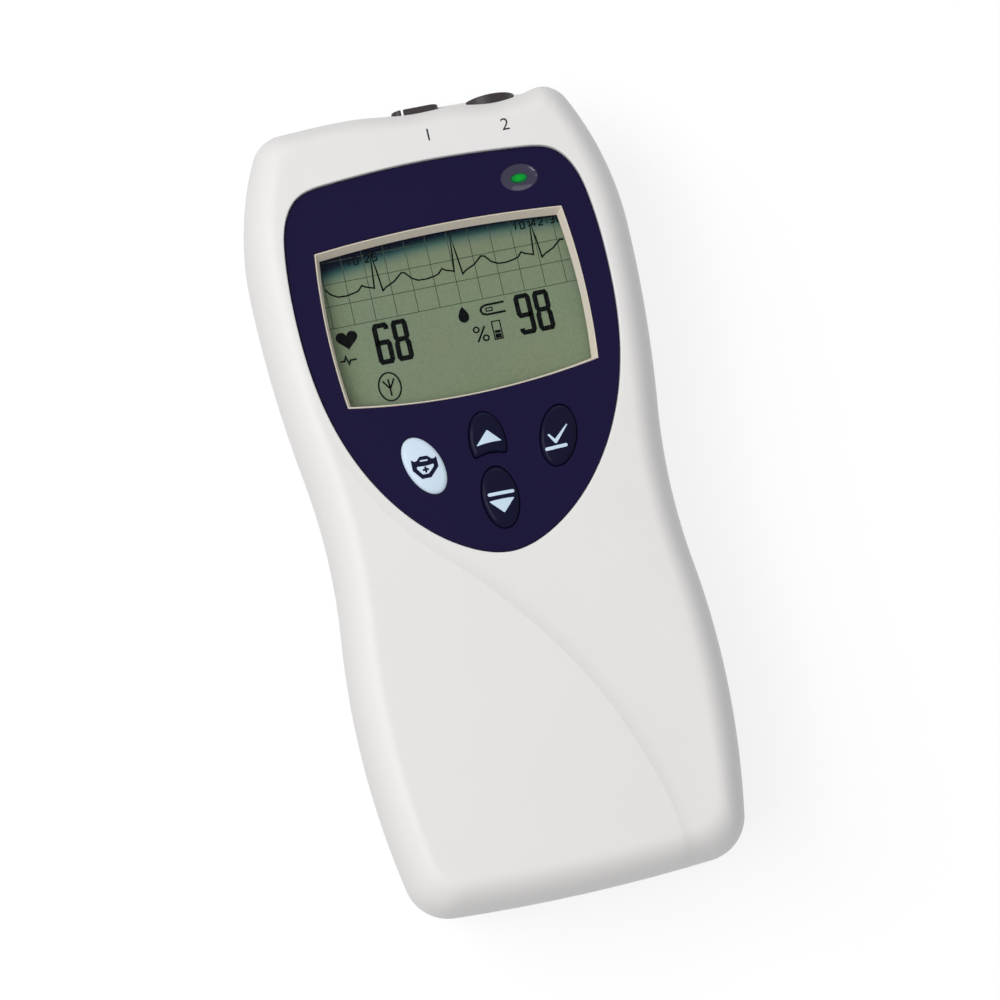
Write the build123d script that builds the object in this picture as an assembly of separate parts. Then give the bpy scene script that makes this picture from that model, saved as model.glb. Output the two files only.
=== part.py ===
"""Portable patient monitor, lying on its back.

Millimetres. X is the width, Y runs from the foot end to the socket end, Z comes out of the display.
The origin is the middle of the back, so the whole monitor stands on Z = 0.
"""

from build123d import *
from math import cos, hypot, pi, sin, sqrt, tan
import os

# Overall form of the two shells
case_length = 180.9
foot_half_width = 41.3
foot_bulge_y = -46.0
waist_half_width = 39.1
waist_y = -8.4
head_half_width = 43.55
head_bulge_y = 54.0
foot_side_radius = 188.0
waist_radius = 142.0
head_side_radius = 73.0
foot_end_radius = 410.0
head_end_radius = 560.0
foot_corner_radius = 9.8
head_corner_radius = 7.6
wall = 2.2

# Levels above the back
parting_z = 28.0
face_z = 41.0
panel_z = 40.1
seam_height = 0.3
seam_depth = 0.3

# Roundings and draft of the shells
front_round_width = 7.5
back_round_width = 7.0
back_round_height = 9.0
back_draft = tan(6.0 * pi / 180)
loft_steps = 5

# Sculpted ridge that runs from the panel to the foot: place of the ridge, depth of its cove, reach of its rise
ridge_stations = [
    ((-36.5, 27.0), 0.06, 8.0),
    ((-31.6, 10.5), 0.16, 12.0),
    ((-21.5, -6.6), 0.36, 18.0),
    ((-7.0, -21.9), 0.56, 24.0),
    ((7.3, -41.3), 0.58, 22.0),
    ((16.7, -61.0), 0.46, 14.0),
    ((21.6, -79.0), 0.30, 9.0),
    ((21.9, -95.0), 0.22, 8.0),
]
cove_radius = 13.6

# Front panel
panel_points = [
    (0, -15.0), (9.75, -12.0), (19.6, -4.0), (27.75, 8.0), (33.3, 24.0), (35.3, 45.0),
    (34.5, 60.0), (32.6, 67.6), (29.3, 71.9), (22.0, 73.8), (0, 74.9),
]
panel_thickness = 1.2
panel_gap = 0.15
shelf_thickness = 2.5
shelf_margin = 2.0

# Display window
window_top_corner = (28.2, 58.95)
window_foot_corner = (28.35, 23.25)
window_top_y = 60.3
window_foot_y = 20.8
window_side_x = 29.3
window_rim = 0.25
window_bevel = 1.0
window_rim_drop = 0.2
window_fit = 0.12

# Display stack under the window
lens_thickness = 1.0
lens_half_width = 31.5
lens_foot_y = 18.8
lens_top_y = 62.8
lens_gap = 0.2
lcd_thickness = 2.2
lcd_side_gap = 0.2
frame_wall = 1.2
frame_half_width = 32.3
frame_foot_y = 18.4
frame_top_y = 64.0

# Keys
key_half_length = 7.0
key_half_width = 4.0
key_rise = 1.1
key_crown_radius = 38.0
key_edge_radius = 0.6
key_panel_fit = 0.25
key_shelf_fit = 0.45
key_flange_margin = 1.0
key_flange_thickness = 1.0
key_flange_gap = 0.3
plunger_radius = 1.6
nurse_key_place = (-14.8, 7.4, 20.0)
select_key_place = (15.6, 8.0, -18.0)
up_key_place = (0.0, 9.6, 0.0)
down_key_place = (0.0, -2.9, 0.0)
up_key_gap = 3.2
up_key_bite_radius = 7.5

# Rubber domes under the keys
dome_radius = 3.4
dome_top_radius = 1.8
dome_height = 2.0
dome_gap = 0.1

# Status light
light_x = 20.3
light_y = 67.1
light_half_length = 1.8
light_half_width = 0.95
light_fit = 0.15
light_flange = 1.0
light_flange_thickness = 1.0
light_drop = 0.35
dish_half_length = 4.3
dish_half_width = 3.15
dish_depth = 0.7
led_length = 3.0
led_width = 1.6
led_height = 1.1
led_gap = 0.2

# Main board
board_thickness = 1.6
board_side_gap = 1.2
board_foot_y = -14.0
board_top_y = 71.0
pillar_radius = 2.8
pillar_places = [(-36.0, 22.0), (36.0, 22.0), (-36.0, 60.0), (36.0, 60.0)]
pillar_hole_depth = 5.5

# Small screws that hold the boards
board_screw_radius = 1.0
board_screw_head_radius = 2.0
board_screw_head_height = 1.4
board_screw_length = 5.0
screw_hole_fit = 0.05
screw_clearance = 0.25

# Screws that hold the shells together
boss_foot_y = 13.45 - case_length / 2
boss_head_y = case_length / 2 - 14.95
boss_places = [(-32.0, boss_foot_y), (32.0, boss_foot_y), (-32.5, boss_head_y), (32.5, boss_head_y)]
boss_radius = 3.7
front_boss_top = 38.0
case_screw_radius = 1.45
case_screw_head_radius = 2.75
case_screw_head_height = 2.4
case_screw_seat_z = 14.0
case_screw_reach = 4.5
counterbore_radius = 3.1
insert_radius = 2.3
insert_length = 5.0
insert_bore_fit = 0.05
insert_drop = 0.3

# Gasket in the parting face
seal_inset = 0.85
seal_width = 0.9
seal_height = 1.0

# Sockets in the head end
socket_end_y = case_length / 2 - 0.25
socket_depth = 10.4
socket_back_y = socket_end_y - 14.2
socket_wall = 1.3
socket_fit = 0.2
flange_inner_y = socket_end_y - 6.2
flange_thickness = 1.8
flange_margin = 1.5
ecg_x = 2.05
ecg_z = 22.1
ecg_width = 10.7
ecg_height = 19.0
ecg_corner = 2.0
ecg_pin_count = 5
ecg_pin_pitch = 3.1
spo2_x = 19.7
spo2_z = 24.8
spo2_radius = 6.2
spo2_bore_radius = 4.8
spo2_seat_radius = 4.3
spo2_pin_ring = 2.9
spo2_pin_count = 6
insert_block_depth = 3.2
pin_radius = 0.65
pin_bore = 0.35
key_slot_width = 0.6
end_pad_depth = 4.4
end_pad_low_x = -7.0
end_pad_high_x = 30.0

# Hollows in the front shell's end that leave room for the plugs
ecg_scallop_radius = 26.0
ecg_scallop_depth = 1.0
spo2_scallop_radius = 15.0
spo2_scallop_depth = 1.8
scallop_runout = 0.03

# Socket board, upright behind the sockets
socket_board_thickness = 1.6
socket_board_low_x = -7.0
socket_board_high_x = 27.5
socket_board_low_z = 9.0
board_guide_width = 4.0
board_guide_height = 4.0
board_guide_fit = 0.1

# Battery, its bay and its door
battery_half_width = 24.0
battery_foot_y = -79.0
battery_top_y = -21.0
battery_height = 16.0
battery_corner = 3.0
bay_gap = 0.4
bay_wall = 1.6
door_thickness = 2.0
door_gap = 0.3
door_half_width = 25.5
door_top_y = -18.6
door_foot_y = -84.0
rail_width = 1.5
rail_thickness = 0.9
rail_low_z = 1.0
rail_fit = 0.1
rail_pad_thickness = 3.8
tongue_half_width = 18.0
tongue_length = 1.5
grip_count = 6
grip_pitch = 2.4
grip_width = 16.0
grip_depth = 0.45
grip_foot_y = -44.0

# Battery spring contacts
terminal_count = 4
terminal_pitch = 3.6
terminal_width = 1.6
terminal_height = 3.0
terminal_z = 10.0
terminal_block_length = 18.0
terminal_block_height = 6.0
terminal_block_depth = 4.0
terminal_gap = 0.05

# Radio board over the battery bay
radio_half_width = 21.0
radio_foot_y = -76.0
radio_top_y = -23.0
radio_post_height = 3.4
radio_post_radius = 2.4
radio_post_x = 18.0
radio_post_inset = 4.0
shield_height = 3.0
shield_wall = 0.3
radio_shield_size = (24.0, 22.0)
radio_shield_y = -44.0
processor_shield_size = (30.0, 24.0)
processor_shield_place = (6.0, 40.0)
antenna_length = 30.0
antenna_width = 3.0
antenna_height = 7.5
antenna_thickness = 0.5
antenna_y = -70.0
plug_width = 14.0
plug_depth = 4.0
plug_height = 1.6
ribbon_width = 12.0
ribbon_thickness = 0.3

# Alarm speaker and its grille
speaker_x = -19.0
speaker_y = 50.0
speaker_radius = 11.0
speaker_height = 5.2
speaker_lip = 1.6
speaker_seal_thickness = 0.6
speaker_ring_wall = 1.2
speaker_fit = 0.25
grille_slots = 5
grille_pitch = 3.2
grille_slot_width = 1.5
grille_radius = 8.0

# Levels worked out from the sizes above
shelf_top = panel_z - panel_thickness
shelf_bottom = shelf_top - shelf_thickness
board_bottom = parting_z
board_top = board_bottom + board_thickness
lens_bottom = shelf_bottom - lens_thickness
lcd_top = lens_bottom - lens_gap
lcd_bottom = lcd_top - lcd_thickness
window_ring_top = panel_z - window_rim_drop
flange_top = shelf_bottom - key_flange_gap
flange_bottom = flange_top - key_flange_thickness
case_half_length = case_length / 2
front_round_start = parting_z + seam_height
back_round_start = parting_z - seam_height
battery_low_z = door_thickness + door_gap
battery_high_z = battery_low_z + battery_height
bay_roof_z = battery_high_z + bay_gap
bay_top_z = bay_roof_z + bay_wall
radio_bottom = bay_top_z + radio_post_height
radio_top = radio_bottom + board_thickness


# Plain building blocks

def block(low, high):
    """A box between two opposite corners."""
    size = [b - a for a, b in zip(low, high)]
    middle = [(a + b) / 2 for a, b in zip(low, high)]
    return Pos(*middle) * Box(*size)


def post(x, y, low, high, radius):
    """An upright cylinder."""
    return Pos(x, y, (low + high) / 2) * Cylinder(radius, high - low)


def rod(x, z, low, high, radius):
    """A cylinder along Y."""
    return Pos(x, (low + high) / 2, z) * Rot(90, 0, 0) * Cylinder(radius, high - low)


def slab(face, low, high):
    """A flat outline drawn at Z = 0, made solid between two levels."""
    return Pos(0, 0, low) * extrude(face, amount=high - low, dir=(0, 0, 1))


def arc_about(centre, radius, start, end, z):
    """The short arc of a circle between two of its points."""
    across = (start[0] + end[0] - 2 * centre[0], start[1] + end[1] - 2 * centre[1])
    reach = radius / hypot(*across)
    middle = (centre[0] + across[0] * reach, centre[1] + across[1] * reach)
    return Edge.make_three_point_arc((*start, z), (*middle, z), (*end, z))


def toward(centre, point, radius):
    """The point at a distance from a centre, in the direction of another point."""
    dx = point[0] - centre[0]
    dy = point[1] - centre[1]
    reach = radius / hypot(dx, dy)
    return (centre[0] + dx * reach, centre[1] + dy * reach)


def corner_centre(end_centre, end_reach, side_centre, side_reach, sign):
    """Centre of a corner arc that touches the end arc and the side arc from inside."""
    dx = side_centre[0] - end_centre[0]
    dy = side_centre[1] - end_centre[1]
    apart = hypot(dx, dy)
    along = (end_reach ** 2 - side_reach ** 2 + apart ** 2) / (2 * apart)
    off = sqrt(end_reach ** 2 - along ** 2)
    ux = dx / apart
    uy = dy / apart
    options = [(end_centre[0] + along * ux - k * off * uy, end_centre[1] + along * uy + k * off * ux)
               for k in (-1, 1)]
    return max(options, key=lambda point: sign * point[1])


# Outline of the case: tangent arcs, waisted between two bulges

def case_wire(inset, z):
    """The case's plan outline at a level, drawn in by an inset."""
    foot_drop = foot_half_width - waist_half_width
    foot_run = waist_y - foot_bulge_y
    foot_upper_radius = (foot_drop ** 2 + foot_run ** 2) / (2 * foot_drop) - waist_radius
    head_drop = head_half_width - waist_half_width
    head_run = head_bulge_y - waist_y
    head_lower_radius = (head_drop ** 2 + head_run ** 2) / (2 * head_drop) - waist_radius

    foot_end = (0, foot_end_radius - case_half_length)
    head_end = (0, case_half_length - head_end_radius)
    foot_side = (foot_half_width - foot_side_radius, foot_bulge_y)
    foot_upper = (foot_half_width - foot_upper_radius, foot_bulge_y)
    waist = (waist_half_width + waist_radius, waist_y)
    head_lower = (head_half_width - head_lower_radius, head_bulge_y)
    head_side = (head_half_width - head_side_radius, head_bulge_y)

    foot_r = foot_corner_radius / (1 + inset / (2 * foot_corner_radius))
    head_r = head_corner_radius / (1 + inset / (2 * head_corner_radius))
    foot_corner = corner_centre(foot_end, foot_end_radius - inset - foot_r,
                                foot_side, foot_side_radius - inset - foot_r, -1)
    head_corner = corner_centre(head_end, head_end_radius - inset - head_r,
                                head_side, head_side_radius - inset - head_r, 1)

    foot_start = toward(foot_end, foot_corner, foot_end_radius - inset)
    foot_turned = toward(foot_side, foot_corner, foot_side_radius - inset)
    foot_peak = (foot_half_width - inset, foot_bulge_y)
    into_waist = toward(foot_upper, waist, foot_upper_radius - inset)
    out_of_waist = toward(head_lower, waist, head_lower_radius - inset)
    head_peak = (head_half_width - inset, head_bulge_y)
    head_turning = toward(head_side, head_corner, head_side_radius - inset)
    head_finish = toward(head_end, head_corner, head_end_radius - inset)

    side = [
        (foot_corner, foot_r, foot_start, foot_turned),
        (foot_side, foot_side_radius - inset, foot_turned, foot_peak),
        (foot_upper, foot_upper_radius - inset, foot_peak, into_waist),
        (waist, waist_radius + inset, into_waist, out_of_waist),
        (head_lower, head_lower_radius - inset, out_of_waist, head_peak),
        (head_side, head_side_radius - inset, head_peak, head_turning),
        (head_corner, head_r, head_turning, head_finish),
    ]

    def flip(point):
        return (-point[0], point[1])

    edges = [arc_about(foot_end, foot_end_radius - inset, flip(foot_start), foot_start, z)]
    edges += [arc_about(centre, radius, start, end, z) for centre, radius, start, end in side]
    edges.append(arc_about(head_end, head_end_radius - inset, head_finish, flip(head_finish), z))
    edges += [arc_about(flip(centre), radius, flip(end), flip(start), z)
              for centre, radius, start, end in reversed(side)]
    return Wire(edges)


def case_slab(inset, low, high):
    """The case's outline, drawn in, as a straight-sided slab."""
    return slab(Face(case_wire(inset, 0)), low, high)


def rounded_half(start_z, end_z, base_inset, round_width, round_height, draft):
    """A half of the case: drafted sides that turn through an elliptical rounding into a flat face."""
    direction = 1 if end_z > start_z else -1
    straight = abs(end_z - start_z) - round_height
    turned_z = start_z + direction * straight
    wires = [case_wire(base_inset + draft * straight, turned_z)]
    for step in range(1, loft_steps + 1):
        angle = pi / 2 * step / loft_steps
        rise = round_height * sin(angle)
        inset = base_inset + draft * (straight + rise) + round_width * (1 - cos(angle))
        wires.append(case_wire(inset, turned_z + direction * rise))
    rounding = Part([Solid.make_loft(wires)])
    if straight < seam_height:
        return rounding
    return rounding + Part([Solid.make_loft([case_wire(base_inset, start_z), wires[0]], ruled=True)])


def front_outer():
    """Outside of the front shell, with the shadow gap at its rim."""
    body = rounded_half(front_round_start, face_z, 0, front_round_width, face_z - front_round_start, 0)
    return body + case_slab(seam_depth, parting_z, front_round_start)


def back_outer():
    """Outside of the rear shell, with the shadow gap at its rim."""
    body = rounded_half(back_round_start, 0, 0, back_round_width, back_round_height, back_draft)
    return body + case_slab(seam_depth, back_round_start, parting_z)


def front_hollow():
    """Inside of the front shell."""
    inner_z = face_z - wall
    return rounded_half(parting_z, inner_z, wall, front_round_width - wall, inner_z - parting_z, 0)


def back_hollow():
    """Inside of the rear shell."""
    return rounded_half(parting_z, wall, wall, back_round_width - wall, back_round_height - wall, back_draft)


# Outlines on the front

def panel_face(grow):
    """The panel's shield-shaped outline, grown by an amount."""
    outline = panel_points + [(-x, y) for x, y in reversed(panel_points[1:-1])]
    points = []
    for index, (x, y) in enumerate(outline):
        before = outline[index - 1]
        after = outline[(index + 1) % len(outline)]
        back = hypot(x - before[0], y - before[1])
        ahead = hypot(after[0] - x, after[1] - y)
        run_x = (x - before[0]) / back ** 2 + (after[0] - x) / ahead ** 2
        run_y = (y - before[1]) / back ** 2 + (after[1] - y) / ahead ** 2
        run = hypot(run_x, run_y)
        points.append(Vector(x + grow * run_y / run, y - grow * run_x / run))
    return Face(Wire([Edge.make_spline(points, periodic=True)]))


def window_wire(inset, z):
    """The window's barrel-shaped outline, drawn in by an inset."""
    top_x = window_top_corner[0] - inset
    top_y = window_top_corner[1] - inset
    foot_x = window_foot_corner[0] - inset
    foot_y = window_foot_corner[1] + inset
    side_y = (top_y + foot_y) / 2
    side_x = window_side_x - inset
    return Wire([
        Edge.make_three_point_arc((-foot_x, foot_y, z), (0, window_foot_y + inset, z), (foot_x, foot_y, z)),
        Edge.make_three_point_arc((foot_x, foot_y, z), (side_x, side_y, z), (top_x, top_y, z)),
        Edge.make_three_point_arc((top_x, top_y, z), (0, window_top_y - inset, z), (-top_x, top_y, z)),
        Edge.make_three_point_arc((-top_x, top_y, z), (-side_x, side_y, z), (-foot_x, foot_y, z)),
    ])


def oval(half_length, half_width, place, grow=0):
    """A tilted ellipse, long side up when its tilt is zero."""
    x, y, tilt = place
    return Pos(x, y) * Rot(0, 0, tilt) * Ellipse(half_width + grow, half_length + grow)


def key_face(place, grow=0):
    """The outline of a plain oval key."""
    return oval(key_half_length, key_half_width, place, grow)


def up_key_face(grow=0):
    """The up key is an oval whose foot is bitten away, so it nests over the down key."""
    bite_y = down_key_place[1] + key_half_length + up_key_gap - up_key_bite_radius
    return key_face(up_key_place, grow) - Pos(0, bite_y) * Circle(up_key_bite_radius - grow)


def light_face(grow):
    """The status light's oval."""
    return oval(light_half_width, light_half_length, (light_x, light_y, 0), grow)


def all_key_faces(grow):
    """The four key outlines, in the order nurse call, up, down, select."""
    return [key_face(nurse_key_place, grow), up_key_face(grow),
            key_face(down_key_place, grow), key_face(select_key_place, grow)]


# Sockets

def ecg_outline(grow):
    """Rounded rectangle of the wide socket, drawn in the XZ plane."""
    face = RectangleRounded(ecg_width + 2 * grow, ecg_height + 2 * grow, ecg_corner + grow)
    return Plane(origin=(ecg_x, 0, ecg_z), x_dir=(1, 0, 0), z_dir=(0, -1, 0)) * face


def ecg_slab(grow, low, high):
    """The wide socket's outline as a bar along Y."""
    return Pos(0, high, 0) * extrude(ecg_outline(grow), amount=high - low, dir=(0, -1, 0))


def socket_passages():
    """Room for both sockets through the end wall."""
    far = case_half_length + 2
    return [ecg_slab(socket_fit, socket_back_y, far),
            ecg_slab(flange_margin + socket_fit, socket_back_y, flange_inner_y + flange_thickness),
            rod(spo2_x, spo2_z, socket_back_y, far, spo2_radius + socket_fit),
            rod(spo2_x, spo2_z, socket_back_y, flange_inner_y + flange_thickness,
                spo2_radius + flange_margin + socket_fit)]


def scallop(x, radius, depth):
    """A hollow that carries the end's own rounding inwards round an upright axis."""
    end_y = case_half_length - head_end_radius + sqrt(head_end_radius ** 2 - x ** 2)
    height = face_z + scallop_runout - front_round_start
    profile = [(radius, parting_z), (radius, front_round_start)]
    for step in range(1, loft_steps + 1):
        angle = pi / 2 * step / loft_steps
        profile.append((radius + front_round_width * (1 - cos(angle)), front_round_start + height * sin(angle)))
    points = [Vector(r, 0, z) for r, z in profile]
    edges = [
        Edge.make_line(points[0], points[1]),
        Edge.make_spline(points[1:], tangents=[Vector(0, 0, 1), Vector(1, 0, 0)]),
        Edge.make_line(points[-1], Vector(points[-1].X, 0, face_z + 1)),
        Edge.make_line(Vector(points[-1].X, 0, face_z + 1), Vector(0, 0, face_z + 1)),
        Edge.make_line(Vector(0, 0, face_z + 1), Vector(0, 0, parting_z)),
        Edge.make_line(Vector(0, 0, parting_z), points[0]),
    ]
    tool = revolve(Face(Wire(edges)), axis=Axis.Z, revolution_arc=360)
    return Pos(x, end_y - depth + radius, 0) * tool


def ridge_cove():
    """Tool for the sculpted ridge: a cove that falls from a crisp line and rises gently again."""
    over = 1.0
    wires = []
    last = len(ridge_stations) - 1
    for index, (place, depth, reach) in enumerate(ridge_stations):
        before = ridge_stations[max(index - 1, 0)][0]
        after = ridge_stations[min(index + 1, last)][0]
        run = hypot(after[0] - before[0], after[1] - before[1])
        across = (-(after[1] - before[1]) / run, (after[0] - before[0]) / run)

        def at(distance, z):
            return (place[0] + across[0] * distance, place[1] + across[1] * distance, z)

        low = face_z - depth
        fall = sqrt(2 * cove_radius * depth - depth ** 2)
        start = fall - sqrt(2 * cove_radius * (depth + over) - (depth + over) ** 2)
        start_mid = fall - sqrt(2 * cove_radius * (depth + over) / 4 - ((depth + over) / 4) ** 2)
        rise_radius = (reach ** 2 + depth ** 2) / (2 * depth)
        finish = fall + sqrt(2 * rise_radius * (depth + over) - (depth + over) ** 2)
        finish_mid = fall + sqrt(2 * rise_radius * (depth + over) / 4 - ((depth + over) / 4) ** 2)
        wires.append(Wire([
            Edge.make_three_point_arc(at(start, face_z + over), at(start_mid, low + (depth + over) / 4),
                                      at(fall, low)),
            Edge.make_three_point_arc(at(fall, low), at(finish_mid, low + (depth + over) / 4),
                                      at(finish, face_z + over)),
            Edge.make_line(at(finish, face_z + over), at(start, face_z + over)),
        ]))
    return Part([Solid.make_loft(wires)])


# Shells

def front_case():
    """Front shell: hollow, with the panel's recess, the bevelled window and its bosses."""
    outside = front_outer()
    end_pad = block((end_pad_low_x, case_half_length - end_pad_depth, parting_z),
                    (end_pad_high_x, case_half_length, face_z))
    shell = outside - front_hollow() + (outside & end_pad)
    shell += outside & slab(panel_face(shelf_margin), shelf_bottom, face_z - wall / 2)
    for x, y in pillar_places:
        shell += post(x, y, board_top, shelf_bottom + shelf_thickness / 2, pillar_radius)
    for x, y in boss_places:
        shell += post(x, y, parting_z, front_boss_top, boss_radius)
    shell -= ridge_cove()
    shell -= scallop(ecg_x, ecg_scallop_radius, ecg_scallop_depth)
    shell -= scallop(spo2_x, spo2_scallop_radius, spo2_scallop_depth)
    shell -= slab(panel_face(panel_gap), shelf_top, face_z + 1)
    shell += slab(Face(window_wire(0, 0)), shelf_bottom, window_ring_top)
    funnel = [window_wire(window_rim, window_ring_top), window_wire(window_bevel, shelf_bottom)]
    shell -= Part([Solid.make_loft(funnel, ruled=True)])
    for face in all_key_faces(key_shelf_fit):
        shell -= slab(face, shelf_bottom - 1, shelf_top + 1)
    shell -= slab(light_face(light_fit), shelf_bottom - 1, shelf_top + 1)
    for x, y in pillar_places:
        shell -= post(x, y, board_top, board_top + pillar_hole_depth, board_screw_radius + screw_hole_fit)
    for x, y in boss_places:
        shell -= post(x, y, parting_z, parting_z + insert_drop + insert_length, insert_radius)
    for passage in socket_passages():
        shell -= passage
    return shell


def bay_room():
    """The hollow that the battery lies in, open at the back."""
    return block((-battery_half_width - bay_gap, battery_foot_y - bay_gap, -1),
                 (battery_half_width + bay_gap, battery_top_y + bay_gap, bay_roof_z))


def door_room():
    """The room that the door and its rails slide in, open at the foot end."""
    far = -case_half_length - 1
    plate = block((-door_half_width - door_gap, far, -1),
                  (door_half_width + door_gap, door_top_y + door_gap, door_thickness))
    rail_x = door_half_width + rail_width + door_gap
    rails = block((-rail_x, far, rail_low_z - rail_fit),
                  (rail_x, door_top_y, rail_low_z + rail_thickness + rail_fit))
    tongue = block((-tongue_half_width - door_gap, door_top_y, rail_low_z - rail_fit),
                   (tongue_half_width + door_gap, door_top_y + tongue_length + door_gap,
                    rail_low_z + rail_thickness + rail_fit))
    return plate + rails + tongue


def rear_case():
    """Rear shell: hollow, with the battery bay, screw bosses, board guide, speaker ring and grille."""
    outside = back_outer()
    shell = outside - back_hollow()
    bay_x = battery_half_width + bay_gap + bay_wall
    bay_low_y = battery_foot_y - bay_gap - bay_wall
    bay_high_y = battery_top_y + bay_gap + bay_wall
    solid = block((-bay_x, bay_low_y, 0), (bay_x, bay_high_y, bay_top_z))
    rail_pad_x = door_half_width + rail_width + door_gap + wall
    solid += block((-rail_pad_x, -case_half_length, 0), (rail_pad_x, bay_high_y + 1, rail_pad_thickness))
    solid += block((-rail_pad_x, bay_high_y, 0),
                   (rail_pad_x, door_top_y + tongue_length + door_gap + wall, rail_pad_thickness))
    guide_y = socket_back_y - socket_board_thickness / 2
    solid += block((socket_board_low_x, guide_y - board_guide_width / 2, 0),
                   (socket_board_high_x, guide_y + board_guide_width / 2, socket_board_low_z + board_guide_height))
    for x, y in boss_places:
        solid += post(x, y, 0, parting_z, boss_radius)
    ring_radius = speaker_radius + speaker_fit + speaker_ring_wall
    solid += post(speaker_x, speaker_y, 0, wall + speaker_height, ring_radius)
    for x in (-radio_post_x, radio_post_x):
        for y in (radio_foot_y + radio_post_inset, radio_top_y - radio_post_inset):
            solid += post(x, y, bay_roof_z, radio_bottom, radio_post_radius)
    shell += outside & solid

    shell -= bay_room()
    shell -= door_room()
    shell -= post(speaker_x, speaker_y, wall, parting_z, speaker_radius + speaker_fit)
    for slot in range(grille_slots):
        offset = (slot - (grille_slots - 1) / 2) * grille_pitch
        half = sqrt(grille_radius ** 2 - offset ** 2)
        shell -= Pos(speaker_x + offset, speaker_y, 0) * extrude(
            SlotOverall(2 * half, grille_slot_width, rotation=90), amount=wall + 1, both=True)
    for x, y in boss_places:
        shell -= post(x, y, -1, case_screw_seat_z, counterbore_radius)
        shell -= post(x, y, -1, parting_z + 1, case_screw_radius + screw_clearance)
    for x in (-radio_post_x, radio_post_x):
        for y in (radio_foot_y + radio_post_inset, radio_top_y - radio_post_inset):
            shell -= post(x, y, bay_roof_z + bay_wall / 2, radio_bottom, board_screw_radius + screw_hole_fit)
    shell -= block((socket_board_low_x - 1, socket_back_y - socket_board_thickness - board_guide_fit,
                    socket_board_low_z),
                   (socket_board_high_x + 1, socket_back_y + board_guide_fit, parting_z))
    shell -= case_slab(seal_inset, parting_z - seal_height, parting_z) - case_slab(
        seal_inset + seal_width, parting_z - seal_height, parting_z)
    for passage in socket_passages():
        shell -= passage
    shell -= terminal_slots()
    return shell


def case_seal():
    """Rubber gasket in the rear shell's parting face, parted where the sockets pass."""
    ring = case_slab(seal_inset, parting_z - seal_height, parting_z)
    ring -= case_slab(seal_inset + seal_width, parting_z - seal_height, parting_z)
    for passage in socket_passages():
        ring -= passage
    return ring


# Front panel, display and status light

def front_panel():
    """Coloured face plate with the window, key and light openings and the light's dish."""
    plate = slab(panel_face(0), shelf_top, panel_z)
    plate -= slab(Face(window_wire(-window_fit, 0)), shelf_top - 1, panel_z + 1)
    for face in all_key_faces(key_panel_fit):
        plate -= slab(face, shelf_top - 1, panel_z + 1)
    dish_radius = (dish_half_width ** 2 + dish_depth ** 2) / (2 * dish_depth)
    dish = scale(Sphere(dish_radius), by=(dish_half_length / dish_half_width, 1, 1))
    plate -= Pos(light_x, light_y, panel_z + dish_radius - dish_depth) * dish
    plate -= slab(light_face(light_fit), shelf_top - 1, panel_z + 1)
    return plate


def display_lens():
    """Clear pane bonded under the window."""
    return block((-lens_half_width, lens_foot_y, lens_bottom), (lens_half_width, lens_top_y, shelf_bottom))


def lcd_frame():
    """Carrier that stands on the board and holds the display glass and the backlight."""
    outer = block((-frame_half_width, frame_foot_y, board_top), (frame_half_width, frame_top_y, lcd_top))
    inner = block((-frame_half_width + frame_wall, frame_foot_y + frame_wall, board_top - 1),
                  (frame_half_width - frame_wall, frame_top_y - frame_wall, lcd_top + 1))
    return outer - inner


def display_layer(low, high):
    """A plate that fits inside the carrier."""
    side = frame_wall + lcd_side_gap
    return block((-frame_half_width + side, frame_foot_y + side, low),
                 (frame_half_width - side, frame_top_y - side, high))


def lcd_glass():
    """Liquid crystal glass."""
    return display_layer(lcd_bottom, lcd_top)


def backlight():
    """Light guide under the glass."""
    return display_layer(board_top, lcd_bottom)


def status_light():
    """Oval light pipe, flanged under the shelf, that ends over its diode."""
    pipe = slab(light_face(0), board_top + led_height + led_gap, panel_z - light_drop)
    pipe += slab(light_face(light_flange), shelf_bottom - light_flange_thickness, shelf_bottom)
    return pipe


def status_led():
    """Diode on the main board."""
    return block((light_x - led_length / 2, light_y - led_width / 2, board_top),
                 (light_x + led_length / 2, light_y + led_width / 2, board_top + led_height))


# Keys and domes

def key(face, flange, place):
    """A key: crowned cap through the panel, flange under the shelf, plunger over its dome."""
    top = panel_z + key_rise
    cap = slab(face, flange_bottom, top)
    crown = Pos(place[0], place[1], top - key_crown_radius) * Sphere(key_crown_radius)
    cap &= crown + slab(flange, flange_bottom, panel_z)
    rim = [edge for edge in cap.edges() if edge.center().Z > panel_z + key_rise / 5]
    cap = fillet(rim, key_edge_radius)
    body = cap + slab(flange, flange_bottom, flange_top)
    low = board_top + dome_height + dome_gap
    return body + post(place[0], place[1], low, flange_bottom, plunger_radius)


def nurse_call_key():
    """Pale key, tilted to the left."""
    return key(key_face(nurse_key_place), key_face(nurse_key_place, key_flange_margin), nurse_key_place)


def up_key():
    """Up key, nested over the down key."""
    return key(up_key_face(), up_key_face(key_flange_margin), (up_key_place[0], up_plunger_y()))


def down_key():
    """Down key, under the up key."""
    return key(key_face(down_key_place), key_face(down_key_place, key_flange_margin), down_key_place)


def select_key():
    """Select key, tilted to the right."""
    return key(key_face(select_key_place), key_face(select_key_place, key_flange_margin), select_key_place)


def up_plunger_y():
    """The up key's plunger stands in the middle of what its bitten foot leaves."""
    top = up_key_place[1] + key_half_length
    return (top + down_key_place[1] + key_half_length + up_key_gap) / 2


def dome(x, y):
    """Rubber dome on the board."""
    low = Pos(x, y, board_top) * Circle(dome_radius)
    high = Pos(x, y, board_top + dome_height) * Circle(dome_top_radius)
    return loft([low.face(), high.face()])


# Boards and what they carry

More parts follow.
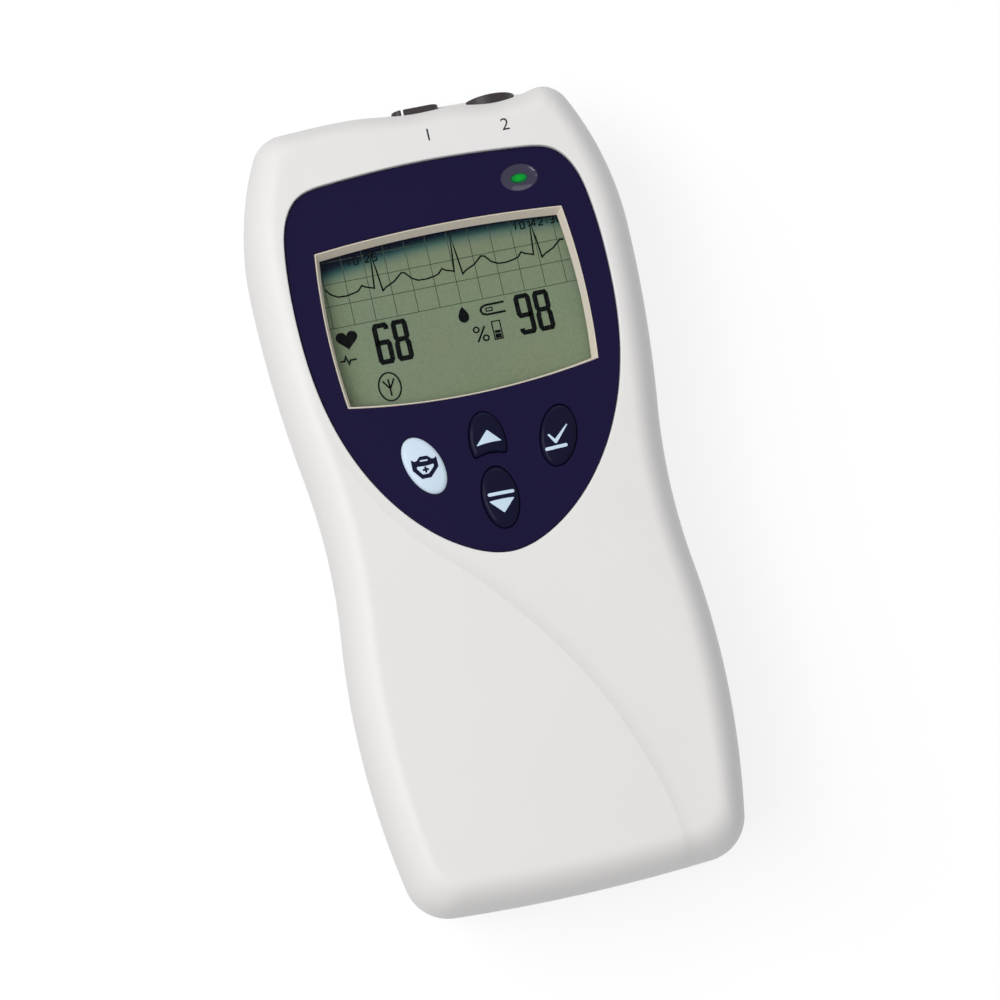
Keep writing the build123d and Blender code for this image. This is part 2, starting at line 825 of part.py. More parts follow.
def main_board():
    """Main board, hung from the front shell's pillars."""
    plate = case_slab(wall + board_side_gap, board_bottom, board_top)
    plate &= block((-head_half_width, board_foot_y, board_bottom), (head_half_width, board_top_y, board_top))
    for x, y in pillar_places:
        plate -= post(x, y, board_bottom - 1, board_top + 1, board_screw_radius + screw_clearance)
    return plate


def shield(size, x, y, low, high, open_up):
    """Stamped can that is open toward its board."""
    half_x = size[0] / 2
    half_y = size[1] / 2
    can = block((x - half_x, y - half_y, low), (x + half_x, y + half_y, high))
    inside_low = low + shield_wall if open_up else low - 1
    inside_high = high + 1 if open_up else high - shield_wall
    return can - block((x - half_x + shield_wall, y - half_y + shield_wall, inside_low),
                       (x + half_x - shield_wall, y + half_y - shield_wall, inside_high))


def processor_shield():
    """Can under the main board."""
    return shield(processor_shield_size, *processor_shield_place, board_bottom - shield_height, board_bottom, True)


def radio_shield():
    """Can on the radio board."""
    return shield(radio_shield_size, 0, radio_shield_y, radio_top, radio_top + shield_height, False)


def radio_board():
    """Radio board on the posts over the battery bay."""
    plate = block((-radio_half_width, radio_foot_y, radio_bottom), (radio_half_width, radio_top_y, radio_top))
    for x in (-radio_post_x, radio_post_x):
        for y in (radio_foot_y + radio_post_inset, radio_top_y - radio_post_inset):
            plate -= post(x, y, radio_bottom - 1, radio_top + 1, board_screw_radius + screw_clearance)
    return plate


def antenna():
    """Folded strip on the radio board: an arm on two legs."""
    half = antenna_length / 2
    arch = block((-half, antenna_y, radio_top), (half, antenna_y + antenna_width, radio_top + antenna_height))
    arch -= block((-half + antenna_thickness, antenna_y - 1, radio_top - 1),
                  (half - antenna_thickness, antenna_y + antenna_width + 1,
                   radio_top + antenna_height - antenna_thickness))
    leg_x = -half + antenna_length / 4
    arch += block((leg_x, antenna_y, radio_top),
                  (leg_x + antenna_thickness, antenna_y + antenna_width, radio_top + antenna_height))
    return arch


def main_plug():
    """Ribbon connector under the main board's foot."""
    return block((-plug_width / 2, board_foot_y, board_bottom - plug_height),
                 (plug_width / 2, board_foot_y + plug_depth, board_bottom))


def radio_plug():
    """Ribbon connector on the radio board's head end."""
    return block((-plug_width / 2, radio_top_y - plug_depth, radio_top),
                 (plug_width / 2, radio_top_y, radio_top + plug_height))


def board_ribbon():
    """Flat cable between the two connectors."""
    high = board_bottom - plug_height / 2
    low = radio_top + plug_height / 2
    half = ribbon_thickness / 2
    middle = (board_foot_y + radio_top_y) / 2
    upper = [(board_foot_y, high + half), (middle, high + half), (middle - half, low + half), (radio_top_y, low + half)]
    lower = [(radio_top_y, low - half), (middle + half, low - half), (middle, high - half), (board_foot_y, high - half)]
    outline = Wire.make_polygon([Vector(-ribbon_width / 2, y, z) for y, z in upper + lower], close=True)
    return extrude(Face(outline), amount=ribbon_width, dir=(1, 0, 0))


def socket_board():
    """Upright board that both sockets are soldered to."""
    return block((socket_board_low_x, socket_back_y - socket_board_thickness, socket_board_low_z),
                 (socket_board_high_x, socket_back_y, board_bottom - 0.2))


# Sockets and their contacts

def ecg_pin_places():
    """Contact places of the wide socket."""
    middle = (ecg_pin_count - 1) / 2
    return [(ecg_x, ecg_z + (index - middle) * ecg_pin_pitch) for index in range(ecg_pin_count)]


def spo2_pin_places():
    """Contact places of the round socket."""
    return [(spo2_x + spo2_pin_ring * cos(2 * pi * index / spo2_pin_count),
             spo2_z + spo2_pin_ring * sin(2 * pi * index / spo2_pin_count)) for index in range(spo2_pin_count)]


def ecg_socket():
    """Wide socket: rounded shroud with a flange inside the end wall and a key slot in its mouth."""
    shroud = ecg_slab(0, socket_back_y, socket_end_y)
    shroud += ecg_slab(flange_margin, flange_inner_y, flange_inner_y + flange_thickness)
    shroud -= ecg_slab(-socket_wall, socket_end_y - socket_depth, socket_end_y + 1)
    for x, z in ecg_pin_places():
        shroud -= rod(x, z, socket_back_y - 1, socket_end_y, pin_radius)
    slot_x = ecg_x - ecg_width / 2 + ecg_corner
    shroud -= block((slot_x, socket_end_y - 3, ecg_z), (slot_x + key_slot_width, socket_end_y + 1, ecg_z + ecg_height))
    return shroud


def spo2_socket():
    """Round socket with a flange inside the end wall and a narrower seat for its contact carrier."""
    shroud = rod(spo2_x, spo2_z, socket_back_y, socket_end_y, spo2_radius)
    shroud += rod(spo2_x, spo2_z, flange_inner_y, flange_inner_y + flange_thickness, spo2_radius + flange_margin)
    low = socket_end_y - socket_depth
    shroud -= rod(spo2_x, spo2_z, low, socket_end_y, spo2_seat_radius)
    shroud -= rod(spo2_x, spo2_z, low + insert_block_depth, socket_end_y + 1, spo2_bore_radius)
    for x, z in spo2_pin_places():
        shroud -= rod(x, z, socket_back_y - 1, socket_end_y, pin_radius)
    return shroud


def ecg_insert():
    """Contact carrier at the bottom of the wide socket."""
    low = socket_end_y - socket_depth
    body = ecg_slab(-socket_wall, low, low + insert_block_depth)
    for x, z in ecg_pin_places():
        body -= rod(x, z, low - 1, low + insert_block_depth + 1, pin_radius)
    return body


def spo2_insert():
    """Contact carrier at the bottom of the round socket."""
    low = socket_end_y - socket_depth
    body = rod(spo2_x, spo2_z, low, low + insert_block_depth, spo2_seat_radius)
    for x, z in spo2_pin_places():
        body -= rod(x, z, low - 1, low + insert_block_depth + 1, pin_radius)
    return body


def contact_sleeves(places):
    """Sleeve contacts from the board to the face of their carrier."""
    high = socket_end_y - socket_depth + insert_block_depth
    sleeves = []
    for x, z in places:
        sleeve = rod(x, z, socket_back_y, high, pin_radius)
        sleeves.append(sleeve - rod(x, z, high - insert_block_depth, high + 1, pin_bore))
    return group(sleeves)


def group(solids):
    """Like pieces in one sub-part, each its own solid."""
    return Compound([solid for piece in solids for solid in piece.solids()])


# Battery, door and battery contacts

def battery_pack():
    """Rechargeable pack with rounded long edges."""
    pack = block((-battery_half_width, battery_foot_y, battery_low_z),
                 (battery_half_width, battery_top_y, battery_high_z))
    return fillet(pack.edges().filter_by(Axis.Y), battery_corner)


def battery_door():
    """Door that is part of the back's own surface, with side rails, a tongue and grip grooves."""
    outside = back_outer()
    plate = block((-door_half_width, door_foot_y, 0), (door_half_width, door_top_y, door_thickness))
    plate += block((-door_half_width - rail_width, door_foot_y, rail_low_z),
                   (door_half_width + rail_width, door_top_y, rail_low_z + rail_thickness))
    plate += block((-tongue_half_width, door_top_y, rail_low_z),
                   (tongue_half_width, door_top_y + tongue_length, rail_low_z + rail_thickness))
    door = outside & plate
    for index in range(grip_count):
        y = grip_foot_y + index * grip_pitch
        door -= Pos(0, y, 0) * extrude(SlotOverall(grip_width, grip_pitch / 2), amount=grip_depth, both=True)
    return door


def terminal_places():
    """Middles of the battery contacts across the pack."""
    middle = (terminal_count - 1) / 2
    return [(index - middle) * terminal_pitch for index in range(terminal_count)]


def terminal_slots():
    """Slots through the bay's end wall."""
    low_y = battery_top_y
    high_y = battery_top_y + bay_gap + bay_wall + 1
    slots = [block((x - terminal_width / 2 - rail_fit, low_y, terminal_z - terminal_height / 2 - rail_fit),
                   (x + terminal_width / 2 + rail_fit, high_y, terminal_z + terminal_height / 2 + rail_fit))
             for x in terminal_places()]
    return sum(slots[1:], slots[0])


def battery_contacts():
    """Spring blades that reach through the wall to the pack."""
    low_y = battery_top_y + terminal_gap
    high_y = battery_top_y + bay_gap + bay_wall
    return group([block((x - terminal_width / 2, low_y, terminal_z - terminal_height / 2),
                        (x + terminal_width / 2, high_y, terminal_z + terminal_height / 2))
                  for x in terminal_places()])


def battery_connector():
    """Block behind the wall that carries the spring blades."""
    low_y = battery_top_y + bay_gap + bay_wall
    return block((-terminal_block_length / 2, low_y, terminal_z - terminal_block_height / 2),
                 (terminal_block_length / 2, low_y + terminal_block_depth, terminal_z + terminal_block_height / 2))


# Alarm speaker

def speaker_seal():
    """Foam ring between the speaker and the grille."""
    ring = post(speaker_x, speaker_y, wall, wall + speaker_seal_thickness, speaker_radius)
    return ring - post(speaker_x, speaker_y, wall - 1, wall + speaker_height, speaker_radius - speaker_lip)


def alarm_speaker():
    """Speaker with its basket and magnet."""
    low = wall + speaker_seal_thickness
    body = post(speaker_x, speaker_y, low, low + speaker_height / 2, speaker_radius)
    return body + post(speaker_x, speaker_y, low, low + speaker_height, speaker_radius / 2)


# Fasteners

def screw(x, y, seat, length, radius, head_radius, head_height, up):
    """A screw whose head bears on its seat."""
    direction = 1 if up else -1
    shank = sorted((seat, seat + direction * length))
    head = sorted((seat, seat - direction * head_height))
    return post(x, y, *shank, radius) + post(x, y, *head, head_radius)


def case_screws():
    """Screws from the back into the front shell's inserts."""
    length = parting_z + insert_drop + case_screw_reach - case_screw_seat_z
    return group([screw(x, y, case_screw_seat_z, length, case_screw_radius, case_screw_head_radius,
                        case_screw_head_height, True) for x, y in boss_places])


def case_inserts():
    """Threaded brass inserts in the front shell's bosses."""
    low = parting_z + insert_drop
    inserts = []
    for x, y in boss_places:
        body = post(x, y, low, low + insert_length, insert_radius)
        inserts.append(body - post(x, y, low - 1, low + insert_length + 1, case_screw_radius + insert_bore_fit))
    return group(inserts)


def board_screws():
    """Screws that hang the main board from the front shell."""
    return group([screw(x, y, board_bottom, board_screw_length, board_screw_radius, board_screw_head_radius,
                        board_screw_head_height, True) for x, y in pillar_places])


def radio_screws():
    """Screws that hold the radio board on its posts."""
    return group([screw(x, y, radio_top, board_thickness + radio_post_height - bay_wall / 2, board_screw_radius,
                        board_screw_head_radius, board_screw_head_height, False)
                  for x in (-radio_post_x, radio_post_x)
                  for y in (radio_foot_y + radio_post_inset, radio_top_y - radio_post_inset)])


parts = {
    "front_case": front_case(),
    "rear_case": rear_case(),
    "case_seal": case_seal(),
    "front_panel": front_panel(),
    "display_lens": display_lens(),
    "lcd_frame": lcd_frame(),
    "lcd_glass": lcd_glass(),
    "backlight": backlight(),
    "status_light": status_light(),
    "status_led": status_led(),
    "nurse_call_key": nurse_call_key(),
    "up_key": up_key(),
    "down_key": down_key(),
    "select_key": select_key(),
    "nurse_call_dome": dome(nurse_key_place[0], nurse_key_place[1]),
    "up_dome": dome(up_key_place[0], up_plunger_y()),
    "down_dome": dome(down_key_place[0], down_key_place[1]),
    "select_dome": dome(select_key_place[0], select_key_place[1]),
    "main_board": main_board(),
    "processor_shield": processor_shield(),
    "main_plug": main_plug(),
    "board_ribbon": board_ribbon(),
    "radio_plug": radio_plug(),
    "radio_board": radio_board(),
    "radio_shield": radio_shield(),
    "antenna": antenna(),
    "socket_board": socket_board(),
    "ecg_socket": ecg_socket(),
    "ecg_insert": ecg_insert(),
    "ecg_contacts": contact_sleeves(ecg_pin_places()),
    "spo2_socket": spo2_socket(),
    "spo2_insert": spo2_insert(),
    "spo2_contacts": contact_sleeves(spo2_pin_places()),
    "alarm_speaker": alarm_speaker(),
    "speaker_seal": speaker_seal(),
    "battery_pack": battery_pack(),
    "battery_door": battery_door(),
    "battery_contacts": battery_contacts(),
    "battery_connector": battery_connector(),
    "case_screws": case_screws(),
    "case_inserts": case_inserts(),
    "board_screws": board_screws(),
    "radio_screws": radio_screws(),
}

os.makedirs("parts", exist_ok=True)
for name, part in parts.items():
    export_step(part, f"parts/{name}.step")
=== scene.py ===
"""Portable patient monitor, lying on its back on a pale floor.

Metres in the frame; lengths that belong to the monitor are written in millimetres and multiplied by mm.
X is the width, Y runs from the foot end to the socket end, Z comes out of the display.
"""

from math import atan2, cos, hypot, pi, radians, sin, sqrt

import bmesh
import bpy
import numpy as np
from mathutils import Matrix, Vector
from mathutils.geometry import delaunay_2d_cdt


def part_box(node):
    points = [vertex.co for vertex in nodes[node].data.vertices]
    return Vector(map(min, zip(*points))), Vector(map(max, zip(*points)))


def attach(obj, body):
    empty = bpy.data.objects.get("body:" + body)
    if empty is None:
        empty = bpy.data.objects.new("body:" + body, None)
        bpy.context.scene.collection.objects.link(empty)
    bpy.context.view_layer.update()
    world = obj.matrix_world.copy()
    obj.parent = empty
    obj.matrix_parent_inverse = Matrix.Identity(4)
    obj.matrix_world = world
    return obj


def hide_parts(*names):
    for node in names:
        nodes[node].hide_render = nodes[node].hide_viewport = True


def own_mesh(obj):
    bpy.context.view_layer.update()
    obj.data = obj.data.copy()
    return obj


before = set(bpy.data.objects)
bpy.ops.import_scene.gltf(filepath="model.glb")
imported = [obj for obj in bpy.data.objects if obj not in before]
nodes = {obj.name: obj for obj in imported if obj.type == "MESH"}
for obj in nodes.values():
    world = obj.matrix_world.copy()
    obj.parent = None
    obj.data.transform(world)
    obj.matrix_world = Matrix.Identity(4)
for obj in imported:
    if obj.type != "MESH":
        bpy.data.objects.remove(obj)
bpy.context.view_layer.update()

mm = 0.001
scene = bpy.context.scene
scene.view_settings.view_transform = "Standard"


# Camera
# A long lens above the monitor, a little toward its left side and its foot, rolled as the photograph is.

camera_data = bpy.data.cameras.new("camera")
camera_data.lens = 109.87
camera_data.sensor_width = 36
camera = bpy.data.objects.new("camera", camera_data)
scene.collection.objects.link(camera)
scene.camera = camera
across = Vector((0.97156, -0.22220, 0.08183)).normalized()
away = Vector((-0.12020, -0.16505, 0.97893)).normalized()
across = (across - away * across.dot(away)).normalized()
upward = away.cross(across)
camera.matrix_world = Matrix.Translation((-0.08045, -0.11365, 0.69328)) @ Matrix((
    (across.x, upward.x, away.x, 0),
    (across.y, upward.y, away.y, 0),
    (across.z, upward.z, away.z, 0),
    (0, 0, 0, 1),
))


# Floor, sky and lamps
# A pale sweep that the camera sees as white with the monitor's soft shadow, a plain sky and three soft
# panels.

def srgb(red, green, blue):
    """A colour written as it shows on a screen, 0 to 255, as the linear colour that a shader takes."""
    def linear(value):
        value /= 255
        return value / 12.92 if value <= 0.04045 else ((value + 0.055) / 1.055) ** 2.4
    return (linear(red), linear(green), linear(blue), 1.0)


def new_material(name):
    """An empty material and its node tree."""
    material = bpy.data.materials.new(name)
    material.use_nodes = True
    material.node_tree.nodes.clear()
    return material, material.node_tree


def put(tree, kind, settings=(), **given):
    """A node of a tree: its settings first, then its inputs, by a link where a value comes from another node.
    An input goes by its name, or by at_ and its number."""
    node = tree.nodes.new(kind)
    for label, value in dict(settings).items():
        setattr(node, label, value)
    for label, value in given.items():
        socket = node.inputs[int(label[3:]) if label.startswith("at_") else label.replace("_", " ")]
        if isinstance(value, bpy.types.NodeSocket):
            tree.links.new(value, socket)
        else:
            socket.default_value = value
    return node


def show(tree, shader):
    """Ends a material's tree with the shader that it shows."""
    put(tree, "ShaderNodeOutputMaterial", Surface=shader.outputs[0])


def mixed(tree, share, first, second, blend="MIX"):
    """The colour that a share of the second colour gives on the first."""
    return put(tree, "ShaderNodeMix", {"data_type": "RGBA", "blend_type": blend}, Factor=share, at_6=first,
               at_7=second).outputs[2]


def worked_out(tree, operation, *values):
    """The result of a sum in a tree."""
    given = {f"at_{index}": value for index, value in enumerate(values)}
    return put(tree, "ShaderNodeMath", {"operation": operation}, **given).outputs[0]


def looked_at(tree):
    """One for a ray that shows a surface in the picture, straight, in a reflection or through glass."""
    ray = put(tree, "ShaderNodeLightPath").outputs
    straight_or_shine = worked_out(tree, "MAXIMUM", ray["Is Camera Ray"], ray["Is Glossy Ray"])
    return worked_out(tree, "MAXIMUM", straight_or_shine, ray["Is Transmission Ray"])


floor_material, tree = new_material("floor")
seen_paint = put(tree, "ShaderNodeBsdfDiffuse", Color=(0.30, 0.30, 0.30, 1))
seen_glow = put(tree, "ShaderNodeEmission", Strength=0.76)
seen = put(tree, "ShaderNodeAddShader", at_0=seen_paint.outputs[0], at_1=seen_glow.outputs[0])
plain = put(tree, "ShaderNodeBsdfDiffuse", Color=(0.45, 0.45, 0.45, 1))
choose = put(tree, "ShaderNodeMixShader", Fac=looked_at(tree), at_1=plain.outputs[0], at_2=seen.outputs[0])
show(tree, choose)

floor_mesh = bpy.data.meshes.new("floor")
floor_reach, floor_z = 4.0, -0.0003
floor_corners = [(x * floor_reach, y * floor_reach, floor_z) for x, y in ((-1, -1), (1, -1), (1, 1), (-1, 1))]
floor_mesh.from_pydata(floor_corners, [], [(0, 1, 2, 3)])
floor_mesh.materials.append(floor_material)
floor = bpy.data.objects.new("floor", floor_mesh)
scene.collection.objects.link(floor)

world = bpy.data.worlds.new("sky")
scene.world = world
world.use_nodes = True
tree = world.node_tree
sky = tree.nodes["Background"]
sky.inputs["Color"].default_value = (0.97, 0.98, 1.0, 1)
sky.inputs["Strength"].default_value = 0.47
backdrop = put(tree, "ShaderNodeBackground", Strength=1.0)
choose = put(tree, "ShaderNodeMixShader", Fac=looked_at(tree), at_1=sky.outputs[0], at_2=backdrop.outputs[0])
tree.links.new(choose.outputs[0], tree.nodes["World Output"].inputs["Surface"])


lamp_size, lamp_aim = 0.5, Vector((0, 0, 0.02))


def soft_panel(name, place, power, tint):
    """A square lamp that faces the monitor."""
    data = bpy.data.lights.new(name, "AREA")
    data.shape = "SQUARE"
    data.size = lamp_size
    data.energy = power
    data.color = tint
    lamp = bpy.data.objects.new(name, data)
    lamp.location = place
    lamp.rotation_euler = (lamp_aim - Vector(place)).to_track_quat("-Z", "Y").to_euler()
    scene.collection.objects.link(lamp)


soft_panel("left_panel", (-0.60, 0.25, 0.72), 2.7, (1.0, 0.995, 0.99))
soft_panel("overhead_panel", (-0.55, -0.20, 1.10), 3.5, (1.0, 0.995, 0.99))
soft_panel("head_panel", (0.15, 0.85, 0.50), 0.6, (0.985, 0.99, 1.0))


# Case shells
# Two waisted halves of white moulded plastic with a fine spark-eroded skin, screwed together round a seal.
# Their outline is a chain of tangent arcs, and their sides turn through an elliptical rounding.

def skin(name, colour, roughness, grain=0.5, depth=0.01, tone=0.02, broad=14.0, metallic=0.0, **fixed):
    """A finish with a fine grain in its surface and a faint, broad drift in its tone; lengths in mm."""
    material, tree = new_material(name)
    place = put(tree, "ShaderNodeTexCoord").outputs["Object"]
    drift = put(tree, "ShaderNodeTexNoise", Vector=place, Scale=1 / (broad * mm), Detail=2).outputs["Fac"]
    fine = put(tree, "ShaderNodeTexNoise", Vector=place, Scale=1 / (grain * mm), Detail=3).outputs["Fac"]
    tones = mixed(tree, drift, tuple(c * (1 - tone) for c in colour[:3]) + (1,),
                  tuple(min(c * (1 + tone), 1) for c in colour[:3]) + (1,))
    gloss = put(tree, "ShaderNodeMapRange", Value=drift, To_Min=roughness * 0.93,
                To_Max=min(roughness * 1.07, 1))
    bump = put(tree, "ShaderNodeBump", Height=fine, Strength=1, Distance=depth * mm)
    show(tree, put(tree, "ShaderNodeBsdfPrincipled", Base_Color=tones, Metallic=metallic,
                   Roughness=gloss.outputs["Result"], Normal=bump.outputs["Normal"], **fixed))
    return material


def opened(material):
    """A finish's node tree and its shader."""
    tree = material.node_tree
    return tree, next(node for node in tree.nodes if node.type == "BSDF_PRINCIPLED")


def white_finish(name):
    """The shells' white plastic."""
    return skin(name, srgb(240, 238, 236), 0.42, grain=0.35, depth=0.012, tone=0.008, Specular_IOR_Level=0.3)


def share_of_reach(tree, x, y, half_width, half_height):
    """Where a point lies from a middle, as a share of half a width and of half a height."""
    place = put(tree, "ShaderNodeTexCoord").outputs["Object"]
    return put(tree, "ShaderNodeMapping", Vector=place, Location=(-x / half_width, -y / half_height, 0),
               Scale=(1 / (half_width * mm), 1 / (half_height * mm), 0)).outputs["Vector"]


def share_from_middle(tree, x, y, half_width, half_height):
    """How far a point lies from a middle: none there, and one on the oval that these halves give."""
    centred = share_of_reach(tree, x, y, half_width, half_height)
    return put(tree, "ShaderNodeVectorMath", {"operation": "LENGTH"}, at_0=centred).outputs["Value"]


white_plastic = white_finish("white_plastic")


def clothe(material, *names):
    """Gives nodes of the frame their finish."""
    for name in names:
        slots = nodes[name].data.materials
        slots.clear()
        slots.append(material)


case_half_length = 90.45
foot_half_width, foot_bulge_y = 41.3, -46.0
waist_half_width, waist_y = 39.1, -8.4
head_half_width, head_bulge_y = 43.55, 54.0
foot_side_radius, waist_radius, head_side_radius = 188.0, 142.0, 73.0
foot_end_radius, head_end_radius = 410.0, 560.0
foot_corner_radius, head_corner_radius = 9.8, 7.6
arc_steps = {"foot_end": 90, "foot_corner": 26, "foot_side": 44, "foot_upper": 26, "waist": 56,
             "head_lower": 40, "head_side": 36, "head_corner": 22, "head_end": 150}


def corner_centre(end_centre, end_reach, side_centre, side_reach, sign):
    """Centre of a corner arc that touches the end's arc and the side's arc from inside."""
    dx = side_centre[0] - end_centre[0]
    dy = side_centre[1] - end_centre[1]
    apart = hypot(dx, dy)
    along = (end_reach ** 2 - side_reach ** 2 + apart ** 2) / (2 * apart)
    off = sqrt(end_reach ** 2 - along ** 2)
    options = [(end_centre[0] + (along * dx - k * off * dy) / apart,
                end_centre[1] + (along * dy + k * off * dx) / apart) for k in (-1, 1)]
    return max(options, key=lambda point: sign * point[1])


def toward(centre, point, radius):
    """The point at a distance from a centre, in the direction of another point."""
    reach = radius / hypot(point[0] - centre[0], point[1] - centre[1])
    return (centre[0] + (point[0] - centre[0]) * reach, centre[1] + (point[1] - centre[1]) * reach)


def arc_points(centre, start, end, steps):
    """Points along the short arc from start to end, without its last point."""
    first = atan2(start[1] - centre[1], start[0] - centre[0])
    last = atan2(end[1] - centre[1], end[0] - centre[0])
    turn = (last - first + pi) % (2 * pi) - pi
    radius = hypot(start[0] - centre[0], start[1] - centre[1])
    angles = first + turn * np.arange(steps) / steps
    return np.column_stack([centre[0] + radius * np.cos(angles), centre[1] + radius * np.sin(angles)])


def case_outline(inset):
    """The case's plan outline, drawn in by an inset: an array of points, anticlockwise."""
    drop = foot_half_width - waist_half_width
    run = waist_y - foot_bulge_y
    foot_upper_radius = (drop ** 2 + run ** 2) / (2 * drop) - waist_radius
    drop = head_half_width - waist_half_width
    run = head_bulge_y - waist_y
    head_lower_radius = (drop ** 2 + run ** 2) / (2 * drop) - waist_radius
    foot_end = (0, foot_end_radius - case_half_length)
    head_end = (0, case_half_length - head_end_radius)
    foot_side = (foot_half_width - foot_side_radius, foot_bulge_y)
    foot_upper = (foot_half_width - foot_upper_radius, foot_bulge_y)
    waist = (waist_half_width + waist_radius, waist_y)
    head_lower = (head_half_width - head_lower_radius, head_bulge_y)
    head_side = (head_half_width - head_side_radius, head_bulge_y)
    foot_r = foot_corner_radius / (1 + inset / (2 * foot_corner_radius))
    head_r = head_corner_radius / (1 + inset / (2 * head_corner_radius))
    foot_corner = corner_centre(foot_end, foot_end_radius - inset - foot_r,
                                foot_side, foot_side_radius - inset - foot_r, -1)
    head_corner = corner_centre(head_end, head_end_radius - inset - head_r,
                                head_side, head_side_radius - inset - head_r, 1)
    foot_start = toward(foot_end, foot_corner, foot_end_radius - inset)
    foot_turned = toward(foot_side, foot_corner, foot_side_radius - inset)
    foot_peak = (foot_half_width - inset, foot_bulge_y)
    into_waist = toward(foot_upper, waist, foot_upper_radius - inset)
    out_of_waist = toward(head_lower, waist, head_lower_radius - inset)
    head_peak = (head_half_width - inset, head_bulge_y)
    head_turning = toward(head_side, head_corner, head_side_radius - inset)
    head_finish = toward(head_end, head_corner, head_end_radius - inset)
    right_side = [
        ("foot_corner", foot_corner, foot_start, foot_turned),
        ("foot_side", foot_side, foot_turned, foot_peak),
        ("foot_upper", foot_upper, foot_peak, into_waist),
        ("waist", waist, into_waist, out_of_waist),
        ("head_lower", head_lower, out_of_waist, head_peak),
        ("head_side", head_side, head_peak, head_turning),
        ("head_corner", head_corner, head_turning, head_finish),
    ]

    def flip(point):
        return (-point[0], point[1])

    arcs = [arc_points(foot_end, flip(foot_start), foot_start, arc_steps["foot_end"])]
    arcs += [arc_points(centre, start, end, arc_steps[name]) for name, centre, start, end in right_side]
    arcs.append(arc_points(head_end, head_finish, flip(head_finish), arc_steps["head_end"]))
    arcs += [arc_points(flip(centre), flip(end), flip(start), arc_steps[name])
             for name, centre, start, end in reversed(right_side)]
    return np.vstack(arcs)


def mesh_of(name, points, faces):
    """A mesh object at the origin, from points in mm."""
    mesh = bpy.data.meshes.new(name)
    mesh.from_pydata([tuple(c * mm for c in point) for point in points], [], faces)
    mesh.update()
    piece = bpy.data.objects.new(name, mesh)
    scene.collection.objects.link(piece)
    return piece


def ring_faces(rings, count):
    """Quads between rings of as many points each, the first ring lowest."""
    faces = []
    for level in range(rings - 1):
        low = level * count
        faces += [(low + k, low + (k + 1) % count, low + count + (k + 1) % count, low + count + k)
                  for k in range(count)]
    return faces


def stack(name, rings):
    """A closed solid of stacked rings of 3-D points, with flat caps."""
    count = len(rings[0])
    points = np.vstack(rings)
    faces = ring_faces(len(rings), count)
    faces.append(tuple(reversed(range(count))))
    faces.append(tuple(range(len(points) - count, len(points))))
    return mesh_of(name, points.tolist(), faces)


def capped(name, rings, top, faces):
    """A closed solid of rings under a filled top, whose first points are its rim, with a flat foot."""
    count = len(rings[0])
    base = len(rings) * count
    all_faces = ring_faces(len(rings) + 1, count)
    all_faces += [tuple(base + k for k in face) for face in faces]
    all_faces.append(tuple(reversed(range(count))))
    return mesh_of(name, np.vstack(rings + [top]).tolist(), all_faces)


def at_height(outline, z):
    """A plan outline lifted to a height."""
    return np.column_stack([outline, np.full(len(outline), z)])


def prism(name, outline, low, high):
    """An upright prism on a plan outline."""
    return stack(name, [at_height(outline, low), at_height(outline, high)])


def grown(outline, amount):
    """An outline moved outwards along its own normals."""
    step = np.roll(outline, -1, axis=0) - np.roll(outline, 1, axis=0)
    outward = np.column_stack([step[:, 1], -step[:, 0]]) / np.linalg.norm(step, axis=1)[:, None]
    return outline + outward * amount


def circle(x, y, radius, count=48):
    """A circle's points."""
    angles = 2 * pi * np.arange(count) / count
    return np.column_stack([x + radius * np.cos(angles), y + radius * np.sin(angles)])


def combined(piece, tool, operation):
    """Joins or cuts two closed pieces; both are used up, and the result keeps the first one's name."""
    modifier = piece.modifiers.new("combine", "BOOLEAN")
    modifier.operation = operation
    modifier.solver = "EXACT"
    modifier.object = tool
    ready = piece.evaluated_get(bpy.context.evaluated_depsgraph_get())
    mesh = bpy.data.meshes.new_from_object(ready)
    name = piece.name
    for used in (piece, tool):
        old = used.data
        bpy.data.objects.remove(used)
        bpy.data.meshes.remove(old)
    mesh.name = name
    result = bpy.data.objects.new(name, mesh)
    scene.collection.objects.link(result)
    return result


def finished(piece, material, body, slot, sharp=30, replaced=()):
    """Smooth shading that keeps flat faces flat, a finish and a body to ride on; its slot is not used."""
    mesh = piece.data
    mesh.materials.clear()
    mesh.materials.append(material)
    mesh.shade_smooth()
    mesh.set_sharp_from_angle(angle=radians(sharp))
    weighted = piece.modifiers.new("weighted", "WEIGHTED_NORMAL")
    weighted.keep_sharp = True
    weighted.weight = 100
    mesh = bpy.data.meshes.new_from_object(piece.evaluated_get(bpy.context.evaluated_depsgraph_get()))
    piece.modifiers.clear()
    old, piece.data = piece.data, mesh
    bpy.data.meshes.remove(old)
    mesh.name = piece.name
    for polygon in mesh.polygons:
        polygon.material_index = 0
    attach(piece, body)
    if replaced:
        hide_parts(*replaced)
    return piece


# Front shell
# The white half that the hand holds from above: a sculpted ridge sweeps from the panel to its foot, two soft
# hollows make room for the plugs, and a recess with a lip takes the navy panel and the display window.

